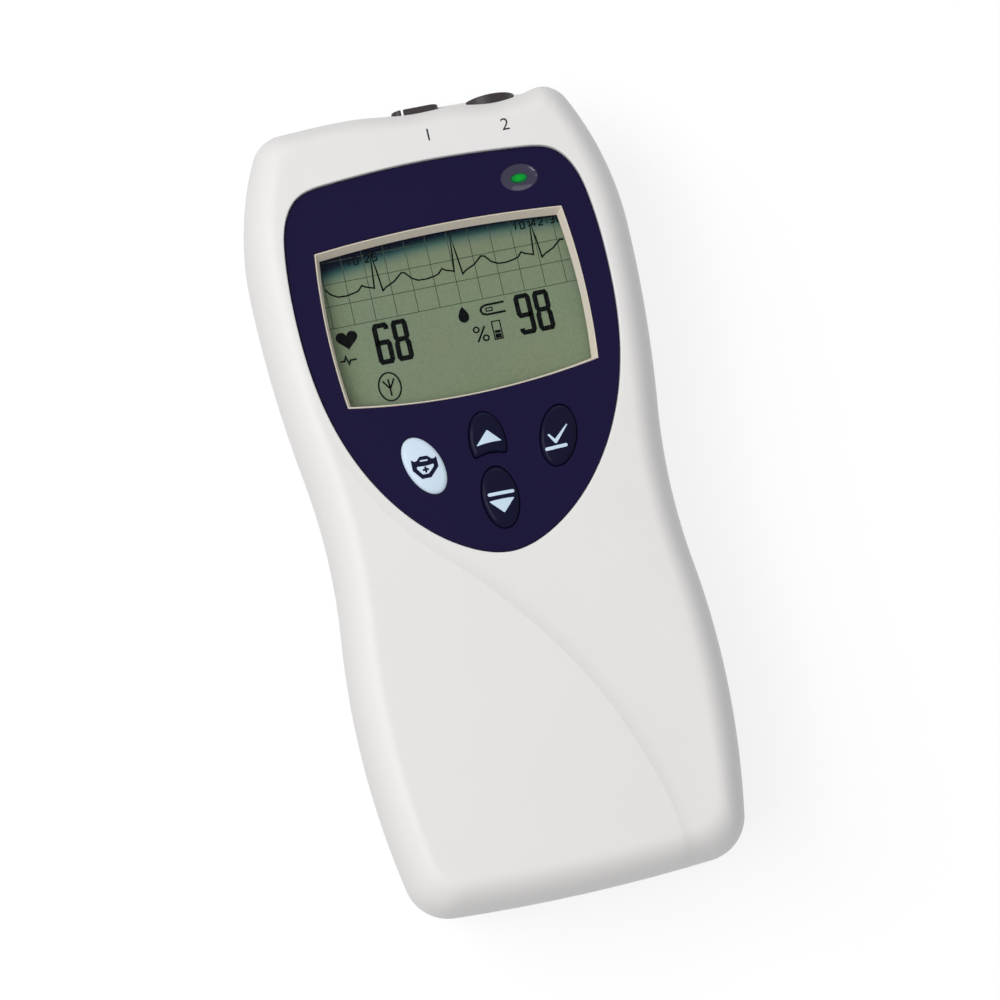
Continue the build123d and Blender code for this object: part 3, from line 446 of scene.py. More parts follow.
parting_z = 28.0
shell_seam_z = 28.3
face_z = 41.0
wall = 2.2
round_width = 7.5
round_height = face_z - shell_seam_z
seam_depth = 0.3
ecg_x, ecg_z, ecg_width, ecg_height, ecg_corner = 2.05, 22.1, 10.7, 19.0, 2.0
spo2_x, spo2_z, spo2_radius = 19.7, 24.8, 6.2
plug_hollows = [(ecg_x, 26.0, 1.0), (spo2_x, 15.0, 1.8)]
hollow_blend = 1.6
hollow_from_y, hollow_half_span, hollow_fade = 60, 33, 6
turned_from_y = 70
socket_foot_y, flange_top_y, past_end_y = 76.0, 85.8, 93.0
face_pitch, ridge_clearance, rim_clearance = 2.4, 1.3, 0.5
ridge_rows = (-3.0, -1.6, -0.8, -0.35, -0.12, 0.0, 0.12, 0.35, 0.8, 1.4, 2.1, 3.0, 4.2, 5.6, 7.4, 9.6, 12.5)
ridge_stations = [
    ((-36.5, 27.0), 0.06, 8.0), ((-31.6, 10.5), 0.16, 12.0), ((-21.5, -6.6), 0.36, 18.0),
    ((-7.0, -21.9), 0.56, 24.0), ((7.3, -41.3), 0.58, 22.0), ((16.7, -61.0), 0.46, 14.0),
    ((21.6, -79.0), 0.30, 9.0), ((21.9, -95.0), 0.22, 8.0),
]
cove_radius = 13.6


def turned_span(start, end, reach, leave, arrive, steps):
    """Points of a span that leaves its start and arrives at its end in given directions, without its last."""
    return [(2 * t ** 3 - 3 * t ** 2 + 1) * start + (t ** 3 - 2 * t ** 2 + t) * reach * leave
            + (3 * t ** 2 - 2 * t ** 3) * end + (t ** 3 - t ** 2) * reach * arrive
            for t in np.arange(steps) / steps]


def smooth_curve(points, steps):
    """An open curve through points, turning evenly between them; as many points for each span as steps."""
    points = np.array(points, float)
    last = len(points) - 1
    out = []
    for k in range(last):
        a, b, c, d = (points[min(max(k + i, 0), last)] for i in (-1, 0, 1, 2))
        before = np.linalg.norm((b - a)[:2]) or 1
        here = np.linalg.norm((c - b)[:2])
        after = np.linalg.norm((d - c)[:2]) or 1
        leave = arrive = (c - b) / here
        if k > 0:
            leave = ((b - a) / before * here + (c - b) / here * before) / (before + here)
        if k < last - 1:
            arrive = ((c - b) / here * after + (d - c) / after * here) / (here + after)
        out += turned_span(b, c, here, leave, arrive, steps)
    out.append(points[-1])
    return np.array(out)


ridge_line = smooth_curve([(x, y, depth, reach) for (x, y), depth, reach in ridge_stations], 40)
ridge_run = np.gradient(ridge_line[:, :2], axis=0)
ridge_run /= np.linalg.norm(ridge_run, axis=1)[:, None]
ridge_side = np.column_stack([-ridge_run[:, 1], ridge_run[:, 0]])


def cove_depth(plan):
    """How far the cove beside the ridge lies under the face, at plan points."""
    apart = plan[:, None, :] - ridge_line[None, :, :2]
    nearest = np.argmin((apart ** 2).sum(axis=2), axis=1)
    rows = np.arange(len(plan))
    away = (apart[rows, nearest] * ridge_side[nearest]).sum(axis=1)
    depth = ridge_line[nearest, 2]
    reach = ridge_line[nearest, 3]
    fall = np.sqrt(2 * cove_radius * depth - depth ** 2)
    rise_radius = (reach ** 2 + depth ** 2) / (2 * depth)
    falling = depth - cove_radius + np.sqrt(np.maximum(cove_radius ** 2 - (fall - away) ** 2, 0))
    gone = np.clip(away - fall, 0, reach)
    rising = depth - rise_radius + np.sqrt(rise_radius ** 2 - gone ** 2)
    return np.where(away < 0, 0, np.where(away < fall, falling, rising)).clip(0)


def soft_least(values):
    """The least of several distances, with a soft turn where they cross."""
    values = np.array(values)
    return -hollow_blend * np.log(np.exp(-values / hollow_blend).sum(axis=0))


def depth_inside(x, y):
    """How far inside the rim a point near the head end is, with the plug hollows counted as rim."""
    centre_y = case_half_length - head_end_radius
    fields = [head_end_radius - np.hypot(x, y - centre_y)]
    for hollow_x, radius, depth in plug_hollows:
        end_y = centre_y + sqrt(head_end_radius ** 2 - hollow_x ** 2)
        fields.append(np.hypot(x - hollow_x, y - (end_y - depth + radius)) - radius)
    return soft_least(fields)


def hollowed(outline, inset):
    """An outline of the head end moved in until its points are an inset inside the hollowed rim."""
    out = outline.copy()
    chosen = (out[:, 1] > hollow_from_y) & (np.abs(out[:, 0]) < hollow_half_span)
    x = out[chosen, 0]
    high = out[chosen, 1] + 1.0
    low = high - 8.0
    for _ in range(40):
        middle = (low + high) / 2
        inside = depth_inside(x, middle) > inset
        low = np.where(inside, middle, low)
        high = np.where(inside, high, middle)
    faded = np.clip((hollow_half_span - np.abs(x)) / hollow_fade, 0, 1)
    out[chosen, 1] += (np.minimum(low, out[chosen, 1]) - out[chosen, 1]) * faded
    return out


def face_height(plan):
    """Height of the front's skin at plan points on its face."""
    height = face_z - cove_depth(plan)
    near_end = plan[:, 1] > turned_from_y
    if near_end.any():
        inside = depth_inside(plan[near_end, 0], plan[near_end, 1]).clip(0, round_width)
        turned = shell_seam_z + round_height * np.sqrt(1 - (1 - inside / round_width) ** 2)
        height[near_end] = np.minimum(height[near_end], turned)
    return height


def hex_grid(low, high, pitch):
    """Plan points in staggered rows."""
    rows = []
    y = low[1]
    odd = False
    while y < high[1]:
        xs = np.arange(low[0] + (pitch / 2 if odd else 0), high[0], pitch)
        rows.append(np.column_stack([xs, np.full(len(xs), y)]))
        y += pitch * sqrt(3) / 2
        odd = not odd
    return np.vstack(rows)


def inside_outline(plan, outline, margin):
    """Which plan points lie inside an outline and at least a margin away from its points."""
    x0, y0 = outline[:, 0], outline[:, 1]
    x1, y1 = np.roll(x0, -1), np.roll(y0, -1)
    px, py = plan[:, 0][:, None], plan[:, 1][:, None]
    rise = np.where(y1 == y0, 1e-9, y1 - y0)
    crosses = ((y0 > py) != (y1 > py)) & (px < (x1 - x0) * (py - y0) / rise + x0)
    inside = crosses.sum(axis=1) % 2 == 1
    clear = ((px - x0) ** 2 + (py - y0) ** 2).min(axis=1) > margin ** 2
    return inside & clear


def filled(outline, inner_points):
    """Triangles that fill an outline through inner points: all plan points, then the triangles."""
    count = len(outline)
    coords = [Vector(p) for p in np.vstack([outline, inner_points])]
    edges = [(k, (k + 1) % count) for k in range(count)]
    made, _edges, faces, *_rest = delaunay_2d_cdt(coords, edges, [], 1, 1e-7)
    plan = np.array([tuple(v) for v in made])
    return plan, [tuple(face) for face in faces]


def front_skin():
    """The shell's outside as a closed solid: rim, sides, rounding and sculpted face."""
    seam = [(seam_depth, parting_z), (seam_depth, shell_seam_z), (0.12, shell_seam_z),
            (0.03, shell_seam_z + 0.04)]
    rings = [at_height(hollowed(case_outline(inset), inset), z) for inset, z in seam]
    angles = np.concatenate([np.radians([1.2, 4, 8]), np.radians(np.linspace(12, 90, 27))])
    for angle in angles:
        inset = round_width * (1 - cos(angle))
        plan = hollowed(case_outline(inset), inset)
        lean = atan2(sin(angle) / round_height, cos(angle) / round_width)
        sunk = cove_depth(plan)
        plan = grown(plan, -(sunk * cos(lean))[:, None])
        rings.append(np.column_stack([plan, shell_seam_z + round_height * sin(angle) - sunk * sin(lean)]))
    rim = rings[-1][:, :2]
    even = hex_grid((-44, -90), (44, 90), face_pitch)
    along_ridge = np.vstack([ridge_line[::2, :2] + ridge_side[::2] * offset for offset in ridge_rows])
    apart = np.sqrt(((even[:, None, :] - along_ridge[None, ::3, :]) ** 2).sum(axis=2)).min(axis=1)
    inner = np.vstack([even[apart > ridge_clearance], along_ridge])
    inner = inner[inside_outline(inner, rim, rim_clearance)]
    plan, faces = filled(rim, inner)
    top = np.column_stack([plan, face_height(plan)])
    top[:len(rim), 2] = rings[-1][:, 2]
    return capped("front_shell", rings[:-1], top, faces)


panel_points = [
    (0, -15.0), (9.75, -12.0), (19.6, -4.0), (27.75, 8.0), (33.3, 24.0), (35.3, 45.0),
    (34.5, 60.0), (32.6, 67.6), (29.3, 71.9), (22.0, 73.8), (0, 74.9),
]
panel_z = 40.1
panel_thickness = 1.2
panel_gap = 0.15
shelf_top = panel_z - panel_thickness
shelf_bottom = 36.4


def periodic_curve(points, steps):
    """A closed curve through points, with an even bend everywhere (a cubic that repeats)."""
    points = np.array(points, float)
    count = len(points)
    chord = np.linalg.norm(np.roll(points, -1, axis=0) - points, axis=1)
    before = np.roll(chord, 1)
    matrix = np.zeros((count, count))
    right = np.zeros((count, 2))
    for k in range(count):
        matrix[k, k - 1] = 1 / before[k]
        matrix[k, k] = 2 * (1 / before[k] + 1 / chord[k])
        matrix[k, (k + 1) % count] = 1 / chord[k]
        right[k] = 3 * ((points[k] - points[k - 1]) / before[k] ** 2
                        + (points[(k + 1) % count] - points[k]) / chord[k] ** 2)
    slope = np.linalg.solve(matrix, right)
    out = []
    for k in range(count):
        ahead = (k + 1) % count
        out += turned_span(points[k], points[ahead], chord[k], slope[k], slope[ahead], steps)
    return np.array(out)


panel_outline = periodic_curve(panel_points + [(-x, y) for x, y in reversed(panel_points[1:-1])], 18)

window_top_corner = (28.2, 58.95)
window_foot_corner = (28.35, 23.25)
window_top_y, window_foot_y, window_side_x = 60.3, 20.8, 29.3
window_rim, window_bevel, window_rim_drop = 0.25, 1.0, 0.2


def through_three(start, middle, end, steps):
    """Points of the arc through three points, without its last."""
    ax, ay = middle[0] - start[0], middle[1] - start[1]
    bx, by = end[0] - start[0], end[1] - start[1]
    turn = 2 * (ax * by - ay * bx)
    centre = (start[0] + (by * (ax ** 2 + ay ** 2) - ay * (bx ** 2 + by ** 2)) / turn,
              start[1] + (ax * (bx ** 2 + by ** 2) - bx * (ax ** 2 + ay ** 2)) / turn)
    return arc_points(centre, start, end, steps)


def window_outline(inset):
    """The window's barrel-shaped outline, drawn in by an inset."""
    top_x, top_y = window_top_corner[0] - inset, window_top_corner[1] - inset
    foot_x, foot_y = window_foot_corner[0] - inset, window_foot_corner[1] + inset
    side_y = (top_y + foot_y) / 2
    side_x = window_side_x - inset
    return np.vstack([
        through_three((-foot_x, foot_y), (0, window_foot_y + inset), (foot_x, foot_y), 40),
        through_three((foot_x, foot_y), (side_x, side_y), (top_x, top_y), 24),
        through_three((top_x, top_y), (0, window_top_y - inset), (-top_x, top_y), 40),
        through_three((-top_x, top_y), (-side_x, side_y), (-foot_x, foot_y), 24),
    ])


key_half_length, key_half_width = 7.0, 4.0
key_shelf_fit = 0.45
nurse_place, select_place = (-14.8, 7.4, 20.0), (15.6, 8.0, -18.0)
up_place, down_place = (0.0, 9.6, 0.0), (0.0, -2.9, 0.0)
up_bite_y, up_bite_radius, up_softenings = -0.2, 7.5, 8


def oval(half_length, half_width, place, count=96):
    """A tilted ellipse, long side up when its tilt is zero."""
    angles = 2 * pi * np.arange(count) / count
    x, y = half_width * np.cos(angles), half_length * np.sin(angles)
    tilt = radians(place[2])
    return np.column_stack([place[0] + x * cos(tilt) - y * sin(tilt),
                            place[1] + x * sin(tilt) + y * cos(tilt)])


def up_key_outline(grow):
    """The up key's oval with its foot bitten away in an arc, so that it nests over the down key."""
    a, b = key_half_width + grow, key_half_length + grow
    bite = up_bite_radius - grow
    low, high = 0.0, a
    for _ in range(50):
        x = (low + high) / 2
        gap = (up_place[1] - b * sqrt(1 - (x / a) ** 2)) - (up_bite_y + sqrt(bite ** 2 - x ** 2))
        low, high = (x, high) if gap < 0 else (low, x)
    corner_x = low
    corner_angle = -np.arccos(corner_x / a)
    angles = np.linspace(corner_angle, pi - corner_angle, 84)
    body = np.column_stack([a * np.cos(angles), up_place[1] + b * np.sin(angles)])
    reach = np.arcsin(corner_x / bite)
    sweep = np.linspace(-reach, reach, 26)[1:-1]
    foot = np.column_stack([bite * np.sin(sweep), up_bite_y + bite * np.cos(sweep)])
    outline = np.vstack([body, foot])
    for _ in range(up_softenings):
        outline = 0.5 * outline + 0.25 * (np.roll(outline, 1, axis=0) + np.roll(outline, -1, axis=0))
    return outline


def key_outlines(grow):
    """The four keys' outlines: nurse call, up, down and select."""
    a, b = key_half_length + grow, key_half_width + grow
    return [oval(a, b, nurse_place), up_key_outline(grow), oval(a, b, down_place), oval(a, b, select_place)]


light_x, light_y = 20.3, 67.1
light_half_length, light_half_width = 1.8, 0.95
light_fit = 0.15
pillar_places = [(-36.0, 22.0), (36.0, 22.0), (-36.0, 60.0), (36.0, 60.0)]
boss_places = [(-32.0, -77.0), (32.0, -77.0), (-32.5, 75.5), (32.5, 75.5)]
pillar_radius, boss_radius = 2.8, 3.7
board_top = 29.6
board_screw_radius, insert_radius = 1.0, 2.3
socket_fit = 0.2
flange_margin = 1.5


def end_prism(name, outline, low_y, high_y):
    """A prism along Y on an outline given as X and Z."""
    return stack(name, [np.column_stack([outline[:, 0], np.full(len(outline), y), outline[:, 1]])
                        for y in (high_y, low_y)])


def rounded_box(x, y, width, height, corner, steps=10):
    """A rectangle with round corners, anticlockwise."""
    parts = []
    for cx, cy, start in ((1, 1, 0), (-1, 1, 90), (-1, -1, 180), (1, -1, 270)):
        angles = np.radians(start + 90 * np.arange(steps + 1) / steps)
        parts.append(np.column_stack([x + cx * (width / 2 - corner) + corner * np.cos(angles),
                                      y + cy * (height / 2 - corner) + corner * np.sin(angles)]))
    return np.vstack(parts)


def socket_passages():
    """Tools for the room that both sockets and their flanges take in the shells."""
    grow = 2 * socket_fit
    wide = rounded_box(ecg_x, ecg_z, ecg_width + grow, ecg_height + grow, ecg_corner + socket_fit)
    grow = 2 * (flange_margin + socket_fit)
    wide_flange = rounded_box(ecg_x, ecg_z, ecg_width + grow, ecg_height + grow, ecg_corner + flange_margin)
    bore = circle(spo2_x, spo2_z, spo2_radius + socket_fit, 72)
    bore_flange = circle(spo2_x, spo2_z, spo2_radius + flange_margin + socket_fit, 72)
    return [end_prism("tool", outline, socket_foot_y, end_y) for outline, end_y in (
        (wide, past_end_y), (wide_flange, flange_top_y), (bore, past_end_y), (bore_flange, flange_top_y))]


def worked(piece, operation, tools):
    """A piece joined with or cut by several tools, one after another."""
    for tool in tools:
        piece = combined(piece, tool, operation)
    return piece


# the room inside, less what stands in it: the shelf, the pillars, the screw bosses and the head end's pad
room_straight, room_steps = 0.01, 8
hollow_top = face_z - wall
room_rings = [at_height(case_outline(wall), z) for z in (parting_z - 1, parting_z, parting_z + room_straight)]
for angle in pi / 2 * np.arange(1, room_steps + 1) / room_steps:
    inset = wall + (round_width - wall) * (1 - cos(angle))
    rise = room_straight + (hollow_top - parting_z) * sin(angle)
    room_rings.append(at_height(case_outline(inset), parting_z + rise))
end_pad = np.array([(-7, 86.05), (30, 86.05), (30, 95), (-7, 95)])
standing = [(grown(panel_outline, 2.0), shelf_bottom)]
standing += [(circle(x, y, pillar_radius), board_top) for x, y in pillar_places]
standing += [(circle(x, y, boss_radius), parting_z) for x, y in boss_places]
standing.append((end_pad, parting_z))
room = worked(stack("tool", room_rings), "DIFFERENCE",
              (prism("tool", outline, foot, face_z + 2) for outline, foot in standing))
holes = [(circle(x, y, board_screw_radius + 0.05, 24), board_top, 5.5) for x, y in pillar_places]
holes += [(circle(x, y, insert_radius), parting_z, 5.3) for x, y in boss_places]
room = worked(room, "UNION", (prism("tool", outline, foot - 0.5, foot + depth)
                              for outline, foot, depth in holes))

# the recess for the panel, with its soft lip, the window's bevelled ring and the openings for keys and light
lip_radius = 0.3
lip_outline = grown(panel_outline, panel_gap)
lip_height = face_height(lip_outline)
lip = [at_height(lip_outline, shelf_top), np.column_stack([lip_outline, lip_height - lip_radius])]
for angle in np.radians([15, 35, 60, 90]):
    plan = grown(panel_outline, panel_gap + lip_radius * (1 - cos(angle)))
    lip.append(np.column_stack([plan, lip_height - lip_radius * (1 - sin(angle))]))
lip.append(at_height(grown(panel_outline, panel_gap + lip_radius), face_z + 1.5))
recess = stack("tool", lip)
ring_top = panel_z - window_rim_drop
ring_wall = [at_height(window_outline(0), shelf_bottom - 1), at_height(window_outline(0), ring_top - 0.12),
             at_height(window_outline(0.12), ring_top)]
recess = combined(recess, stack("tool", ring_wall), "DIFFERENCE")
opening = [at_height(window_outline(window_bevel + 0.1), shelf_bottom - 0.4),
           at_height(window_outline(window_rim + 0.06), ring_top - 0.1),
           at_height(window_outline(window_rim - 0.03), ring_top + 0.02)]
recess = combined(recess, stack("tool", opening), "UNION")
light_hole = oval(light_half_width + light_fit, light_half_length + light_fit, (light_x, light_y, 0))
recess = worked(recess, "UNION", (prism("tool", outline, shelf_bottom - 1, shelf_top + 0.5)
                                  for outline in key_outlines(key_shelf_fit) + [light_hole]))
room = worked(room, "UNION", [recess] + socket_passages())


def shade_window_bevel(material):
    """Painted shade on the window's bevel: makes a finish darker and a little warmer there."""
    tree, shader = opened(material)
    plain = shader.inputs["Base Color"].links[0].from_socket
    centred = share_of_reach(tree, 0, (window_top_y + window_foot_y) / 2, window_side_x + window_rim,
                             (window_top_y - window_foot_y) / 2 + window_rim)
    size = put(tree, "ShaderNodeVectorMath", {"operation": "ABSOLUTE"}, at_0=centred).outputs["Vector"]
    split = put(tree, "ShaderNodeSeparateXYZ", at_0=size).outputs
    inside = worked_out(tree, "LESS_THAN", worked_out(tree, "MAXIMUM", split["X"], split["Y"]), 1.0)
    # painted shade: the bevel's white multiplied darker and warmer
    shaded_bevel = mixed(tree, inside, plain, (0.95, 0.87, 0.76, 1), "MULTIPLY")
    tree.links.new(shaded_bevel, shader.inputs["Base Color"])


front_plastic = white_finish("front_plastic")
# painted shade: the window's bevel darker and warmer than the rest of the white plastic
shade_window_bevel(front_plastic)
front_shell = combined(front_skin(), room, "DIFFERENCE")
finished(front_shell, front_plastic, "monitor", "white_shell", sharp=34, replaced=("front_case",))


# Rear shell
# The drafted white half with the battery bay, screw bosses, speaker ring and grille. It keeps its frame
# shape.

clothe(white_plastic, "rear_case")


# Gasket
# A soft grey ring of rubber pressed between the two shells.

seal_rubber = skin("seal_rubber", srgb(60, 60, 62), 0.75, grain=0.3, depth=0.01)
clothe(seal_rubber, "case_seal", "speaker_seal")


# Front panel
# A navy plate, printed from behind, glued into the shell's recess. Its edges are broken, the key openings
# have a small lead-in, and a dish round the status light is pressed into it.

panel_navy = skin("panel_navy", srgb(25, 19, 57), 0.40, grain=0.25, depth=0.003, tone=0.12, broad=30,
                  Specular_IOR_Level=0.08)


def broken_edge(outline, low, high, radius, sign):
    """Rings of a plate's rim with a rounded top edge: inwards for a rim (-1), outwards for an opening (1)."""
    rings = [at_height(outline, low), at_height(outline, high - radius)]
    for angle in np.radians([22, 45, 68, 90]):
        rings.append(at_height(grown(outline, sign * radius * (1 - cos(angle))),
                               high - radius * (1 - sin(angle))))
    return rings


panel_rim_radius, window_edge_radius, key_lead_in = 0.22, 0.08, 0.12
window_fit, key_panel_fit = 0.12, 0.13
plate = stack("front_plate", broken_edge(panel_outline, shelf_top, panel_z, panel_rim_radius, -1))
opening = broken_edge(window_outline(-window_fit), shelf_top - 0.5, panel_z, window_edge_radius, 1)
opening.append(at_height(window_outline(-window_fit - window_edge_radius), panel_z + 0.5))
plate = combined(plate, stack("tool", opening), "DIFFERENCE")
for outline in key_outlines(key_panel_fit):
    opening = broken_edge(outline, shelf_top - 0.5, panel_z, key_lead_in, 1)
    opening.append(at_height(grown(outline, key_lead_in), panel_z + 0.5))
    plate = combined(plate, stack("tool", opening), "DIFFERENCE")
dish = []
dish_half_length, dish_half_width, dish_depth = 4.3, 3.15, 0.7
dish_from, dish_span, dish_steps = 0.12, 0.96, 12
for step in range(dish_steps + 1):
    reach = dish_from + dish_span * step / dish_steps
    height = panel_z - dish_depth * (1 - reach ** 2)
    outline = oval(dish_half_width * reach, dish_half_length * reach, (light_x, light_y, 0))
    dish.append(at_height(outline, height))
plate = combined(plate, stack("tool", dish), "DIFFERENCE")
plate = combined(plate, prism("tool", light_hole, shelf_top - 0.5, panel_z + 0.5), "DIFFERENCE")


def polish_dish(material):
    """Makes a finish glossy inside the status light's dish, where the mould is polished."""
    tree, shader = opened(material)
    dull = shader.inputs["Roughness"].links[0].from_socket
    reach = share_from_middle(tree, light_x, light_y, dish_half_length, dish_half_width)
    inside = put(tree, "ShaderNodeMapRange", Value=reach, From_Min=1.0, From_Max=0.94).outputs["Result"]
    roughness = put(tree, "ShaderNodeMix", Factor=inside, A=dull, B=0.1)
    level = put(tree, "ShaderNodeMapRange", Value=inside, To_Max=0.7,
                To_Min=shader.inputs["Specular IOR Level"].default_value)
    tree.links.new(roughness.outputs["Result"], shader.inputs["Roughness"])
    tree.links.new(level.outputs["Result"], shader.inputs["Specular IOR Level"])


polish_dish(panel_navy)
finished(plate, panel_navy, "monitor", "panel_navy", replaced=("front_panel",))


# Display
# A clear pane under the window, then the liquid crystal glass in its black carrier over a milky light guide.

pane, tree = new_material("clear_pane")
through = put(tree, "ShaderNodeBsdfTransparent", Color=(0.97, 0.98, 0.98, 1))
shine = put(tree, "ShaderNodeBsdfGlossy", Roughness=0.06, Color=(0.8, 0.8, 0.8, 1))
edge_on = put(tree, "ShaderNodeFresnel", IOR=1.17)
face = put(tree, "ShaderNodeNewGeometry")
outside = put(tree, "ShaderNodeMath", {"operation": "SUBTRACT", "use_clamp": True}, at_0=edge_on.outputs[0],
              at_1=face.outputs["Backfacing"])
show(tree, put(tree, "ShaderNodeMixShader", Fac=outside.outputs[0], at_1=through.outputs[0],
               at_2=shine.outputs[0]))
clothe(pane, "display_lens")

crystal, tree = new_material("liquid_crystal")
place = put(tree, "ShaderNodeTexCoord").outputs["Object"]
split = put(tree, "ShaderNodeSeparateXYZ", at_0=place).outputs
fine = put(tree, "ShaderNodeTexNoise", Vector=place, Scale=1 / (0.30 * mm), Detail=2)
broad = put(tree, "ShaderNodeTexNoise", Vector=place, Scale=1 / (22 * mm))
grain = mixed(tree, fine.outputs["Fac"], srgb(114, 126, 99), srgb(156, 168, 138))
colour = mixed(tree, 0.16, grain, broad.outputs["Color"], "MULTIPLY")

# painted shade and reflection of the window's bevel along the glass's top: it bows with the window, leans
# down to the left, and turns from teal to navy
band_bow, band_lean = 2.4, -0.045
bowed = worked_out(tree, "MULTIPLY", worked_out(tree, "MULTIPLY", split["X"], split["X"]), band_bow)
leaning = worked_out(tree, "MULTIPLY_ADD", split["X"], band_lean, bowed)
painted_shade_place = worked_out(tree, "ADD", leaning, split["Y"])
# painted shade: teal, then navy toward the glass's top edge
for low, high, tint in ((54.4, 58.6, srgb(48, 100, 98)), (56.4, 59.4, srgb(2, 8, 34))):
    shade = put(tree, "ShaderNodeMapRange", {"interpolation_type": "SMOOTHSTEP"}, Value=painted_shade_place,
                From_Min=low * mm, From_Max=high * mm).outputs["Result"]
    colour = mixed(tree, shade, colour, tint)
show(tree, put(tree, "ShaderNodeBsdfPrincipled", Base_Color=colour, Roughness=0.55, Specular_IOR_Level=0.1))
clothe(crystal, "lcd_glass")

black_plastic = skin("black_plastic", srgb(30, 30, 32), 0.5, grain=0.4, depth=0.01)
clothe(black_plastic, "lcd_frame")
clothe(skin("light_guide", srgb(228, 232, 224), 0.6, grain=1.0, depth=0.01), "backlight")


# What the display shows
# Two readings with a heart and a drop beside them, a pulse trace over a fine grid, a bar for the signal's
# strength, a clock and a radio mark: thin dark segments in the glass.

lcd_top = 35.2
ink = skin("display_ink", srgb(5, 8, 9), 0.6, grain=0.3, depth=0.001, Specular_IOR_Level=0.05)


def band(points, width, closed=False):
    """Loops that give a line its width: one for an open line, two for a closed one."""
    points = np.array(points, float)
    count = len(points)
    sides = []
    for sign in (1, -1):
        side = []
        for k in range(count):
            here = points[k]
            ahead = points[(k + 1) % count] - here if closed or k < count - 1 else here - points[k - 1]
            back = here - points[k - 1] if closed or k > 0 else ahead
            ahead = ahead / np.linalg.norm(ahead)
            back = back / np.linalg.norm(back)
            normal = np.array([-(ahead + back)[1], (ahead + back)[0]])
            length = np.linalg.norm(normal)
            normal = normal / length if length > 1e-6 else np.array([-ahead[1], ahead[0]])
            mitre = min(1 / max(normal @ np.array([-ahead[1], ahead[0]]), 0.3), 2.5)
            side.append(here + sign * normal * mitre * width / 2)
        sides.append(np.array(side))
    if closed:
        return sides
    return [np.vstack([sides[0], sides[1][::-1]])]


def pressed(name, data, low, high, skin_height=None, cell=0.5, shift=(0, 0)):
    """A thin solid from a flat curve or a text, in mm. It lies between two levels, or follows a surface from
    under it (low) to over it (high) when the surface's height is given."""
    data.extrude = 0.5
    holder = bpy.data.objects.new(name, data)
    scene.collection.objects.link(holder)
    mesh = bpy.data.meshes.new_from_object(holder.evaluated_get(bpy.context.evaluated_depsgraph_get()))
    bpy.data.objects.remove(holder)
    bpy.data.curves.remove(data)
    shape = bmesh.new()
    shape.from_mesh(mesh)
    bmesh.ops.remove_doubles(shape, verts=shape.verts, dist=1e-4)
    if skin_height:
        for axis, normal in enumerate((Vector((1, 0, 0)), Vector((0, 1, 0)))):
            values = [vert.co[axis] for vert in shape.verts]
            for cut in np.arange(min(values) + cell, max(values), cell):
                everything = shape.verts[:] + shape.edges[:] + shape.faces[:]
                bmesh.ops.bisect_plane(shape, geom=everything, plane_co=normal * float(cut), plane_no=normal)
    bmesh.ops.recalc_face_normals(shape, faces=shape.faces)
    plan = np.array([(vert.co.x + shift[0], vert.co.y + shift[1]) for vert in shape.verts])
    base = skin_height(plan) if skin_height else np.zeros(len(plan))
    for vert, (x, y), height in zip(shape.verts, plan, base):
        vert.co = Vector((x, y, height + (high if vert.co.z > 0 else low))) * mm
    shape.to_mesh(mesh)
    shape.free()
    mesh.name = name
    piece = bpy.data.objects.new(name, mesh)
    scene.collection.objects.link(piece)
    return piece


def inlay(name, loops, low, high, skin_height=None):
    """A thin solid on plan loops."""
    curve = bpy.data.curves.new(name, "CURVE")
    curve.dimensions = "2D"
    curve.fill_mode = "BOTH"
    for loop in loops:
        spline = curve.splines.new("POLY")
        spline.points.add(len(loop) - 1)
        for point, (x, y) in zip(spline.points, loop):
            point.co = (x, y, 0, 1)
        spline.use_cyclic_u = True
    return pressed(name, curve, low, high, skin_height)


def joined(name, pieces):
    """Several pieces as one."""
    shape = bmesh.new()
    for piece in pieces:
        shape.from_mesh(piece.data)
    mesh = bpy.data.meshes.new(name)
    shape.to_mesh(mesh)
    shape.free()
    for piece in pieces:
        old = piece.data
        bpy.data.objects.remove(piece)
        bpy.data.meshes.remove(old)
    result = bpy.data.objects.new(name, mesh)
    scene.collection.objects.link(result)
    return result


digit_lines = {
    "0": [([(0.12, 1), (0.88, 1), (1, 0.95), (1, 0.05), (0.88, 0), (0.12, 0), (0, 0.05), (0, 0.95)], True)],
    "1": [([(0.15, 0.8), (0.55, 1), (0.55, 0)], False)],
    "2": [([(0, 0.88), (0.14, 1), (0.86, 1), (1, 0.9), (1, 0.6), (0, 0.08), (0, 0), (1, 0)], False)],
    "3": [([(0, 1), (0.86, 1), (1, 0.9), (1, 0.6), (0.86, 0.5), (0.3, 0.5)], False),
          ([(0.86, 0.5), (1, 0.4), (1, 0.1), (0.86, 0), (0, 0)], False)],
    "4": [([(0.75, 0), (0.75, 1), (0, 0.32), (1, 0.32)], False)],
    "5": [([(1, 1), (0, 1), (0, 0.56), (0.86, 0.56), (1, 0.5), (1, 0.07), (0.86, 0), (0, 0)], False)],
    "6": [([(0.12, 0.53), (0.88, 0.53), (1, 0.46), (1, 0.06), (0.88, 0), (0.12, 0), (0, 0.06),
            (0, 0.46)], True),
          ([(0, 0.47), (0, 0.94), (0.12, 1), (0.88, 1), (1, 0.95), (1, 0.87)], False)],
    "8": [([(0.12, 1), (0.88, 1), (0.98, 0.94), (0.98, 0.6), (0.86, 0.53), (0.14, 0.53), (0.02, 0.6),
            (0.02, 0.94)], True),
          ([(0.12, 0.47), (0, 0.4), (0, 0.06), (0.12, 0), (0.88, 0), (1, 0.06), (1, 0.4),
            (0.88, 0.47)], False)],
    "9": [([(0.12, 0.47), (0, 0.54), (0, 0.94), (0.12, 1), (0.88, 1), (1, 0.94), (1, 0.54),
            (0.88, 0.47)], True),
          ([(1, 0.53), (1, 0.06), (0.88, 0), (0.12, 0), (0, 0.05), (0, 0.12)], False)],
}


